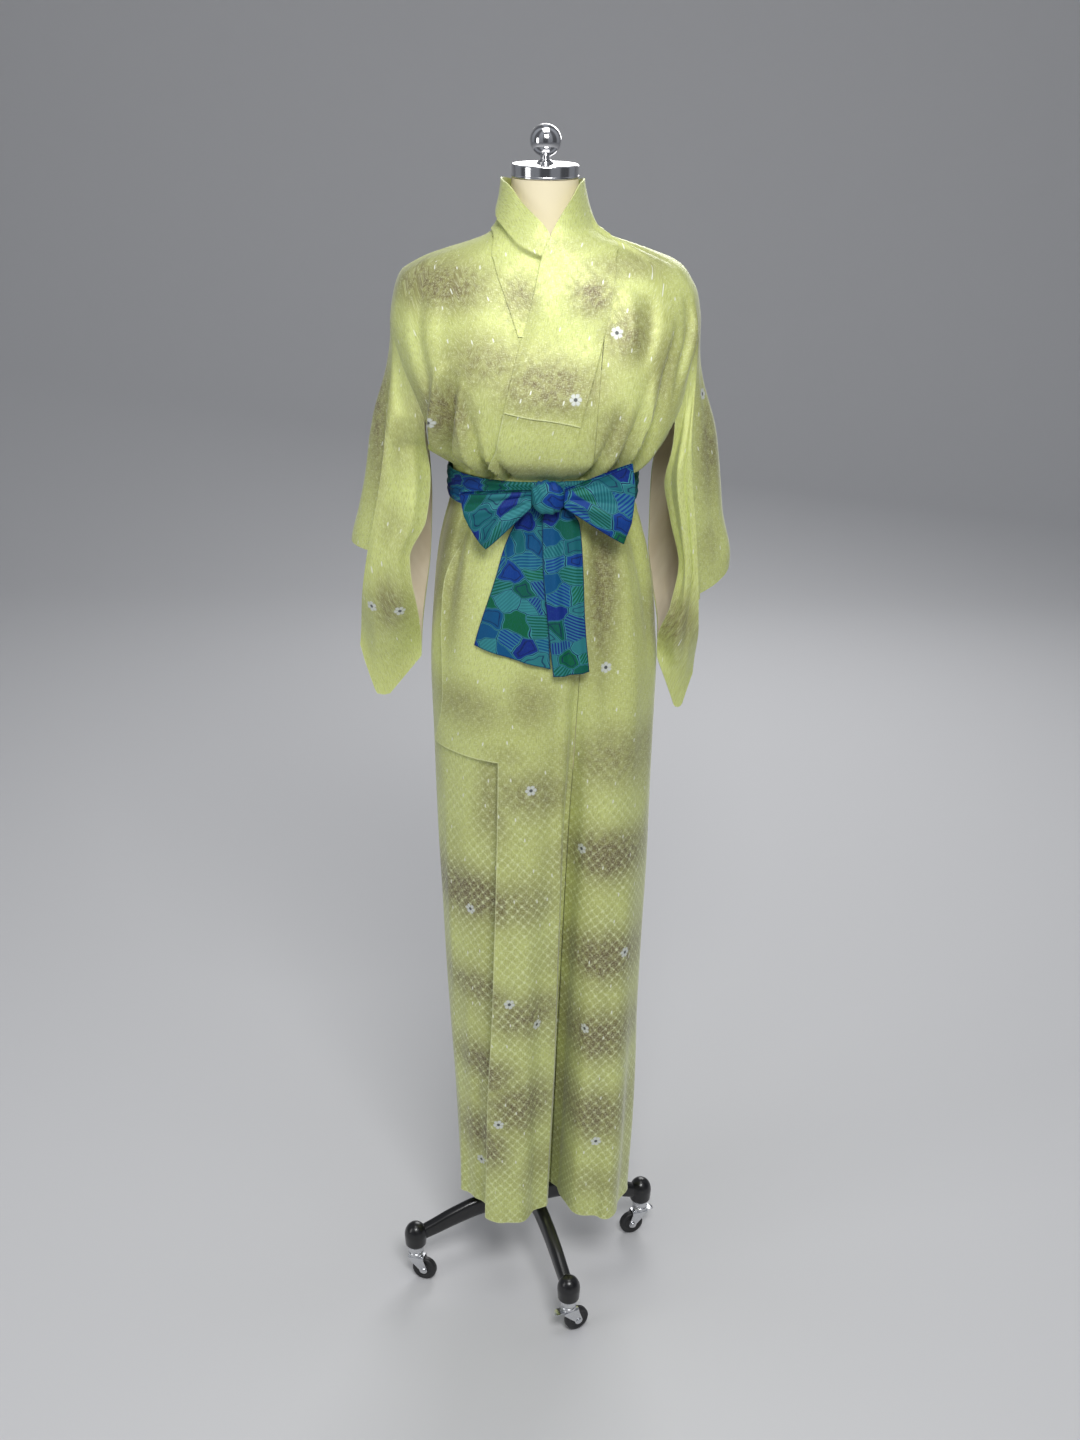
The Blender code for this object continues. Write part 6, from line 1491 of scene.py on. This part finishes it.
def casters():
    for i in range(4):
        place = Matrix.Translation((*legEnd(i), 0)) @ Matrix.Rotation(math.radians(fork["turns"][i]), 4, "Z")
        casterFork(i, place)
        casterWheel(i, place)


def newMaterial(name, color, roughness, metallic=0.0, **settings):
    # Material with its main values set on the shader's own sockets.
    made = bpy.data.materials.new(name)
    made.use_nodes = True
    shader = made.node_tree.nodes["Principled BSDF"]
    for key, value in (("Base Color", (*color, 1.0)), ("Roughness", roughness), ("Metallic", metallic)):
        shader.inputs[key].default_value = value
    for key, value in settings.items():
        shader.inputs[key.replace("_", " ")].default_value = value
    return made


def node(tree, kind, values=(), **settings):
    # Node with its settings, and with each input linked from a socket or set to a value.
    made = tree.nodes.new("ShaderNode" + kind)
    for key, value in settings.items():
        setattr(made, key, value)
    for key, value in dict(values).items():
        if isinstance(value, bpy.types.NodeSocket):
            tree.links.new(value, made.inputs[key])
        else:
            made.inputs[key].default_value = value
    return made


def calc(tree, operation, *values, clamp=False):
    # One sum, product or other simple calculation.
    made = node(tree, "Math", dict(enumerate(values)), operation=operation, use_clamp=clamp)
    return made.outputs[0]


def softStep(tree, value, low, high, start=0.0, end=1.0):
    # Smooth step of a value between low and high.
    made = node(tree, "MapRange", {"Value": value, 1: low, 2: high, 3: start, 4: end},
                interpolation_type="SMOOTHSTEP")
    return made.outputs[0]


def blend(tree, share, first, second, how="MIX"):
    # Mix of two colours.
    made = node(tree, "Mix", data_type="RGBA", blend_type=how)
    for key, value in ((0, share), (6, first), (7, second)):
        if isinstance(value, bpy.types.NodeSocket):
            tree.links.new(value, made.inputs[key])
        else:
            made.inputs[key].default_value = value if key == 0 else (*value, 1.0)
    return made.outputs[2]


def clothAxes(tree):
    # The flat cloth's two coordinates in metres.
    place = node(tree, "UVMap", uv_map="cloth").outputs[0]
    split = node(tree, "SeparateXYZ", {0: place})
    return place, split.outputs[0], split.outputs[1]


def noiseOn(tree, place, scale, detail=2.0, across=1.0, along=1.0, rough=0.55):
    # Noise over the flat cloth, stretched along either of its directions.
    scaled = node(tree, "VectorMath", {0: place, 1: (across, along, 1.0)}, operation="MULTIPLY").outputs[0]
    made = node(tree, "TexNoise", {"Vector": scaled, "Scale": scale, "Detail": detail, "Roughness": rough},
                noise_dimensions="2D")
    return made.outputs[0]


def silkDamask():
    # Satin damask: rounded figures where |cos x + cos y| is large, a lighter network where it is small, fine
    # stars where the network crosses, short white flecks, brown dye with some painted shade, small white flowers
    # and a painted highlight along the hems.
    made = newMaterial("silk", silkLook["lime"], silkLook["roughness"], silkLook["metal"], Sheen_Weight=0.25,
                       Sheen_Roughness=0.4, Specular_IOR_Level=0.5)
    tree = made.node_tree
    shader = tree.nodes["Principled BSDF"]
    place, u, v = clothAxes(tree)
    bent = calc(tree, "MULTIPLY_ADD", noiseOn(tree, place, 120, 1.5), 0.0050, u)
    bentUp = calc(tree, "MULTIPLY_ADD", noiseOn(tree, place, 140, 1.5, 1.0, 0.9), 0.0050, v)
    x = calc(tree, "COSINE", calc(tree, "MULTIPLY", bent, 2 * math.pi / silkLook["pitchAcross"]))
    y = calc(tree, "COSINE", calc(tree, "MULTIPLY", bentUp, 2 * math.pi / silkLook["pitchAlong"]))
    figure = softStep(tree, calc(tree, "ABSOLUTE", calc(tree, "ADD", x, y)), 0.12, 0.80)
    star = softStep(tree, calc(tree, "MULTIPLY", calc(tree, "MULTIPLY", x, y), -1.0), 0.70, 0.92)
    frayed = softStep(tree, noiseOn(tree, place, 420, 2.0, 1.6, 0.7), 0.36, 0.62)
    height = node(tree, "SeparateXYZ", {0: node(tree, "TexCoord").outputs["Object"]}).outputs[2]
    patchy = noiseOn(tree, place, 22, 2.0)
    clear = calc(tree, "MULTIPLY", softStep(tree, height, 0.72, 1.05, 1.0, 0.16),
                 softStep(tree, patchy, 0.30, 0.62, 0.45, 1.0))
    streak = noiseOn(tree, place, 100, 3.0, 10.0, 1.6, 0.65)
    cross = noiseOn(tree, place, 100, 3.0, 1.6, 9.0, 0.65)
    grain = calc(tree, "ADD", streak, cross)
    mottle = noiseOn(tree, place, 90, 4.0, 1.0, 0.8, 0.7)

    # Brown from the attribute: mostly dye, and in a few patches painted shade.
    dyeAndShade = node(tree, "Attribute", attribute_name="brown").outputs["Fac"]
    dyeAndShade = calc(tree, "MULTIPLY", dyeAndShade, softStep(tree, mottle, 0.25, 0.70, 0.70, 1.20), clamp=True)
    ground = blend(tree, softStep(tree, noiseOn(tree, place, 9, 2.0), 0.30, 0.70), silkLook["lime"],
                   silkLook["green"])
    shaded = blend(tree, calc(tree, "MULTIPLY", figure, calc(tree, "MULTIPLY", clear, 0.34)), ground,
                   silkLook["deep"])
    silkTone = blend(tree, dyeAndShade, shaded, silkLook["brown"])
    lines = calc(tree, "MULTIPLY", calc(tree, "SUBTRACT", 1.0, figure), calc(tree, "MULTIPLY", clear, 0.46))
    lines = calc(tree, "MULTIPLY", lines, calc(tree, "MULTIPLY_ADD", frayed, 0.75, 0.25))
    silkTone = blend(tree, lines, silkTone, silkLook["pale"])
    speck = softStep(tree, grain, 0.98, 1.25)
    silkTone = blend(tree, calc(tree, "MULTIPLY", speck, 0.55), silkTone, silkLook["pale"])
    brushed = noiseOn(tree, place, 130, 3.0, 5.0, 0.8, 0.7)
    silkTone = blend(tree, softStep(tree, brushed, 0.52, 0.30, 0.0, 0.46), silkTone, silkLook["deep"])
    silkTone = blend(tree, calc(tree, "MULTIPLY", star, calc(tree, "MULTIPLY", clear, 0.70)), silkTone, silkLook["pale"])

    fleck = silkLook["fleckEvery"]
    cell = node(tree, "VectorMath", {0: place, 1: (1 / fleck, 0.8 / fleck, 1.0)}, operation="MULTIPLY").outputs[0]
    spots = node(tree, "TexVoronoi", {"Vector": cell, "Scale": 1.0, "Randomness": 0.85}, voronoi_dimensions="2D")
    off = node(tree, "VectorMath", {0: cell, 1: spots.outputs["Position"]}, operation="SUBTRACT").outputs[0]
    off = node(tree, "SeparateXYZ", {0: off})
    wide = calc(tree, "MULTIPLY", calc(tree, "ABSOLUTE", off.outputs[0]), fleck / silkLook["fleckWide"])
    long = calc(tree, "MULTIPLY", calc(tree, "ABSOLUTE", off.outputs[1]), fleck / 0.8 / silkLook["fleckLong"])
    far = calc(tree, "ADD", calc(tree, "POWER", wide, 2.0), calc(tree, "POWER", long, 2.0))
    mark = softStep(tree, far, 1.0, 0.45)
    mark = calc(tree, "MULTIPLY", mark, softStep(tree, spots.outputs["Color"], 0.25, 0.40, 0.0, 0.85))
    silkTone = blend(tree, mark, silkTone, silkLook["thread"])

    flower = node(tree, "Attribute", attribute_name="flower").outputs["Vector"]
    part = node(tree, "SeparateXYZ", {0: flower})
    inPlane = node(tree, "CombineXYZ", {0: part.outputs[0], 1: part.outputs[1]}).outputs[0]
    radius = node(tree, "VectorMath", {0: inPlane}, operation="LENGTH").outputs[1]
    turn = calc(tree, "ADD", calc(tree, "ARCTAN2", part.outputs[1], part.outputs[0]), part.outputs[2])
    torn = noiseOn(tree, place, 900, 1.0)
    petals = calc(tree, "POWER", calc(tree, "ABSOLUTE", calc(tree, "COSINE", calc(tree, "MULTIPLY", turn, 3.0))), 0.6)
    reach = calc(tree, "MULTIPLY_ADD", petals, 0.30 * flowerSize["radius"], 0.56 * flowerSize["radius"])
    reach = calc(tree, "MULTIPLY_ADD", torn, 0.0030, reach)
    there = calc(tree, "GREATER_THAN", radius, 1e-5)
    inside = calc(tree, "MULTIPLY", there, softStep(tree, calc(tree, "SUBTRACT", radius, reach), 0.0009, -0.0009))
    slit = softStep(tree, petals, 0.30, 0.75, 0.55, 1.0)
    silkTone = blend(tree, calc(tree, "MULTIPLY", inside, slit), silkTone, silkLook["petal"])
    heart = calc(tree, "MULTIPLY", inside, softStep(tree, radius, flowerSize["heart"] + 0.0006,
                                                   flowerSize["heart"] - 0.0004))
    silkTone = blend(tree, heart, silkTone, silkLook["heart"])

    # Painted highlight: the cloth within about two millimetres of a hem is lightened towards pale, as if the rolled
    # edge caught the light.
    hem = node(tree, "Attribute", attribute_name="hem").outputs["Fac"]
    silkTone = blend(tree, softStep(tree, hem, 0.0022, 0.0008, 0.0, 0.35), silkTone, silkLook["pale"])
    tree.links.new(silkTone, shader.inputs["Base Color"])
    rough = calc(tree, "MULTIPLY_ADD", figure, -0.08, silkLook["roughness"])
    tree.links.new(calc(tree, "MULTIPLY_ADD", mottle, 0.14, rough), shader.inputs["Roughness"])
    raised = calc(tree, "MULTIPLY_ADD", calc(tree, "SUBTRACT", 1.0, figure), calc(tree, "MULTIPLY", clear, 0.6), grain)
    bump = node(tree, "Bump", {"Strength": 0.22, "Distance": 0.0006, "Height": raised})
    tree.links.new(bump.outputs[0], shader.inputs["Normal"])
    return made


def plainWeave(name, color, second, roughness, **settings):
    # Plain cloth: fine crossed threads and a little wear.
    made = newMaterial(name, color, roughness, **settings)
    tree = made.node_tree
    shader = tree.nodes["Principled BSDF"]
    place, u, v = clothAxes(tree)
    tone = blend(tree, softStep(tree, noiseOn(tree, place, 18, 3.0), 0.25, 0.75), color, second)
    tree.links.new(tone, shader.inputs["Base Color"])
    threads = calc(tree, "ADD", noiseOn(tree, place, 100, 2.0, 14.0, 1.5), noiseOn(tree, place, 100, 2.0, 1.5, 14.0))
    bump = node(tree, "Bump", {"Strength": 0.18, "Distance": 0.0004, "Height": threads})
    tree.links.new(bump.outputs[0], shader.inputs["Normal"])
    return made


def sashPrint():
    # Printed sash: uneven pebbles in blues, teals and greens between pale rims, some of them striped.
    made = newMaterial("sashCloth", sashLook["colors"][0], 0.60, Specular_IOR_Level=0.18)
    tree = made.node_tree
    shader = tree.nodes["Principled BSDF"]
    place, u, v = clothAxes(tree)
    bend = node(tree, "TexNoise", {"Vector": place, "Scale": 38.0, "Detail": 1.0}, noise_dimensions="2D").outputs[1]
    bend = node(tree, "VectorMath", {0: bend, 1: (-0.5, -0.5, 0.0)}, operation="ADD").outputs[0]
    cell = node(tree, "VectorMath", {0: bend, 1: (0.014, 0.014, 0.0), 2: place}, operation="MULTIPLY_ADD").outputs[0]
    cell = node(tree, "VectorMath", {0: cell, 1: sashLook["stretch"]}, operation="MULTIPLY").outputs[0]
    spots = node(tree, "TexVoronoi", {"Vector": cell, "Scale": 1.0, "Randomness": 0.9}, voronoi_dimensions="2D")
    rim = node(tree, "TexVoronoi", {"Vector": cell, "Scale": 1.0, "Randomness": 0.9}, voronoi_dimensions="2D",
               feature="DISTANCE_TO_EDGE").outputs["Distance"]
    random = node(tree, "SeparateXYZ", {0: spots.outputs["Color"]})
    ramp = node(tree, "ValToRGB", {0: random.outputs[0]})
    ramp.color_ramp.interpolation = "CONSTANT"
    while len(ramp.color_ramp.elements) < len(sashLook["colors"]):
        ramp.color_ramp.elements.new(0.5)
    for i, color in enumerate(sashLook["colors"]):
        ramp.color_ramp.elements[i].position = i / len(sashLook["colors"])
        ramp.color_ramp.elements[i].color = (*color, 1.0)
    tone = ramp.outputs[0]
    lean = calc(tree, "MULTIPLY_ADD", random.outputs[1], 6.0, 0.0)
    slanted = calc(tree, "ADD", calc(tree, "MULTIPLY", u, calc(tree, "COSINE", lean)),
                   calc(tree, "MULTIPLY", v, calc(tree, "SINE", lean)))
    stripe = softStep(tree, calc(tree, "SINE", calc(tree, "MULTIPLY", slanted, sashLook["stripes"])), -0.1, 0.2)
    striped = calc(tree, "MULTIPLY", stripe, calc(tree, "GREATER_THAN", random.outputs[2], 0.62))
    tone = blend(tree, calc(tree, "MULTIPLY", striped, 0.62), tone, sashLook["light"])
    ring = calc(tree, "MULTIPLY", softStep(tree, rim, 0.16, 0.18), softStep(tree, rim, 0.23, 0.21))
    ring = calc(tree, "MULTIPLY", ring, calc(tree, "LESS_THAN", random.outputs[2], 0.45))
    tone = blend(tree, calc(tree, "MULTIPLY", ring, 0.8), tone, sashLook["dark"])
    tone = blend(tree, softStep(tree, rim, 0.055, 0.035), tone, sashLook["light"])
    tone = blend(tree, softStep(tree, rim, 0.022, 0.012), tone, sashLook["dark"])
    worn = noiseOn(tree, place, 100, 3.0, 9.0, 2.0, 0.7)
    tone = blend(tree, softStep(tree, worn, 0.40, 0.75, 0.0, 0.22), tone, sashLook["pale"])
    hem = node(tree, "Attribute", attribute_name="hem").outputs["Fac"]
    sewn = calc(tree, "MULTIPLY", softStep(tree, hem, 0.0016, 0.0010), calc(tree, "GREATER_THAN", hem, 1e-6))
    tone = blend(tree, calc(tree, "MULTIPLY", sewn, 0.7), tone, sashLook["dark"])
    tree.links.new(tone, shader.inputs["Base Color"])
    threads = calc(tree, "ADD", noiseOn(tree, place, 100, 2.0, 14.0, 1.5), noiseOn(tree, place, 100, 2.0, 1.5, 14.0))
    bump = node(tree, "Bump", {"Strength": 0.20, "Distance": 0.0004, "Height": threads})
    tree.links.new(bump.outputs[0], shader.inputs["Normal"])
    return made


silkLook = {
    "lime": (0.67, 0.74, 0.25), "green": (0.58, 0.63, 0.20), "deep": (0.34, 0.355, 0.11),
    "brown": (0.160, 0.122, 0.056), "pale": (0.78, 0.83, 0.50), "thread": (0.85, 0.88, 0.76),
    "petal": (0.66, 0.69, 0.64), "heart": (0.10, 0.11, 0.10), "roughness": 0.45, "metal": 0.22,
    "pitchAcross": 0.0150, "pitchAlong": 0.0170, "fleckEvery": 0.040, "fleckWide": 0.0012, "fleckLong": 0.0036,
}
sashLook = {
    "colors": ((0.006, 0.022, 0.200), (0.003, 0.075, 0.200), (0.003, 0.100, 0.058), (0.008, 0.120, 0.140),
               (0.004, 0.040, 0.240), (0.003, 0.110, 0.040), (0.024, 0.180, 0.195)),
    "light": (0.045, 0.260, 0.280), "dark": (0.003, 0.010, 0.070), "pale": (0.025, 0.120, 0.260),
    "stretch": (30.0, 44.0, 1.0), "stripes": 1500.0,
}
silk = silkDamask()
liningCloth = plainWeave("liningCloth", (0.62, 0.53, 0.38), (0.70, 0.62, 0.47), 0.72)
jersey = plainWeave("formJersey", (0.84, 0.74, 0.50), (0.87, 0.78, 0.55), 0.85)
sashCloth = sashPrint()
chrome = newMaterial("chromePlate", (0.78, 0.78, 0.79), 0.10, 1.0)
castIron = newMaterial("glossBlack", (0.006, 0.006, 0.007), 0.30, Coat_Weight=0.25, Coat_Roughness=0.15)
zinc = newMaterial("zincPlate", (0.66, 0.67, 0.69), 0.26, 1.0)
rubber = newMaterial("blackRubber", (0.016, 0.016, 0.017), 0.45)
floorPaint = newMaterial("paleFloor", (0.60, 0.60, 0.61), 0.75)


def stageFloor():
    # Plain floor that runs up into the wall behind in one curve: y and z along the path, x across.
    bend, back, tall = 1.6, 3.4, 6.0
    a = np.linspace(0.0, np.pi / 2, 24)
    y = np.concatenate(([-7.0], np.linspace(-3.0, back, 6), back + bend * np.sin(a[1:]), [back + bend]))
    z = np.concatenate((np.zeros(7), bend * (1 - np.cos(a[1:])), [tall]))
    x = np.linspace(-8.0, 8.0, 9)
    grid = np.stack((x[None] + 0 * y[:, None], y[:, None] + 0 * x[None], z[:, None] + 0 * x[None]), axis=-1)
    rows, columns = grid.shape[:2]
    index = np.arange(rows * columns).reshape(rows, columns)
    faces = np.stack((index[:-1, :-1], index[:-1, 1:], index[1:, 1:], index[1:, :-1]), -1).reshape(-1, 4)
    obj = makeMesh("studioFloor", grid.reshape(-1, 3), faces.ravel(), np.full(len(faces), 4), floorPaint, 60)


def areaLight(name, at, towards, size, power):
    # Soft rectangular light that looks at a point.
    data = bpy.data.lights.new(name, "AREA")
    data.shape = "RECTANGLE"
    data.size, data.size_y = size
    data.energy = power
    obj = bpy.data.objects.new(name, data)
    bpy.context.scene.collection.objects.link(obj)
    look = Vector(towards) - Vector(at)
    obj.matrix_world = Matrix.Translation(at) @ look.to_track_quat("-Z", "Y").to_matrix().to_4x4()


def lights():
    # Big soft lights from the front and both sides over an even pale surround.
    for name, values in studio["lights"].items():
        areaLight(name, *values)
    world = bpy.data.worlds.new("studio")
    world.use_nodes = True
    tree = world.node_tree
    background = tree.nodes["Background"]
    look = node(tree, "SeparateXYZ", {0: node(tree, "TexCoord").outputs["Generated"]})
    around = calc(tree, "ARCTAN2", look.outputs[1], look.outputs[0])
    bands = softStep(tree, calc(tree, "SINE", calc(tree, "MULTIPLY", around, studio["bands"])), -0.5, 0.5)
    upper = softStep(tree, look.outputs[2], -0.15, 0.9, *studio["skyRise"])
    power = calc(tree, "MULTIPLY", upper, calc(tree, "MULTIPLY_ADD", bands, 1.0 - studio["bandDark"], studio["bandDark"]))
    background.inputs["Color"].default_value = (*studio["sky"], 1.0)
    tree.links.new(power, background.inputs["Strength"])
    bpy.context.scene.world = world
    bpy.context.scene.view_settings.view_transform = "Standard"


studio = {
    "lights": {
        "keyLight": ((0.4, -2.6, 3.4), (0.0, 0.0, 1.0), (1.3, 1.1), 84.0),
        "fillLight": ((-2.8, -1.6, 1.7), (0.0, 0.0, 0.9), (1.0, 1.8), 15.0),
        "topLight": ((0.1, -0.3, 3.8), (0.0, 0.1, 0.0), (1.4, 1.4), 20.0),
        "backLight": ((0.6, 3.2, 2.4), (0.0, 0.0, 0.9), (1.8, 1.8), 46.0),
    },
    "sky": (0.80, 0.84, 0.92), "skyRise": (0.26, 0.42), "bands": 5.0, "bandDark": 0.35,
    "eye": (0.004, -2.383, 1.965), "down": 22.70, "roll": 0.856, "lens": 44.0,
}


def camera():
    # Camera at the photograph's place: right, up and backward axes from its angle down and its roll.
    p, r = math.radians(studio["down"]), math.radians(studio["roll"])
    right = (math.cos(r), math.sin(r) * math.sin(p), math.sin(r) * math.cos(p))
    up = (-math.sin(r), math.cos(r) * math.sin(p), math.cos(r) * math.cos(p))
    back = (0.0, -math.cos(p), math.sin(p))
    data = bpy.data.cameras.new("photoCamera")
    data.sensor_fit = "VERTICAL"
    data.sensor_height = 36.0
    data.lens = studio["lens"]
    obj = bpy.data.objects.new("photoCamera", data)
    bpy.context.scene.collection.objects.link(obj)
    obj.matrix_world = Matrix((right, up, back)).transposed().to_4x4()
    obj.matrix_world.translation = studio["eye"]
    bpy.context.scene.camera = obj


for side in (1, -1):
    bodyPanel(side)
    okumi(side)
    collarHalf(side)
    sleevePiece(side)
print("robe done")
sashBand()
sashKnot()
for loopName, corners in loopCorners.items():
    bowLoop(loopName, corners)
for tailName in ("wide", "narrow"):
    sashTail(tailName, **tails[tailName])
print("sash done")
formTorso()
neckCap()
finial()
pole()
castBase()
casters()
print("stand done")
stageFloor()
lights()
camera()
print("studio done")
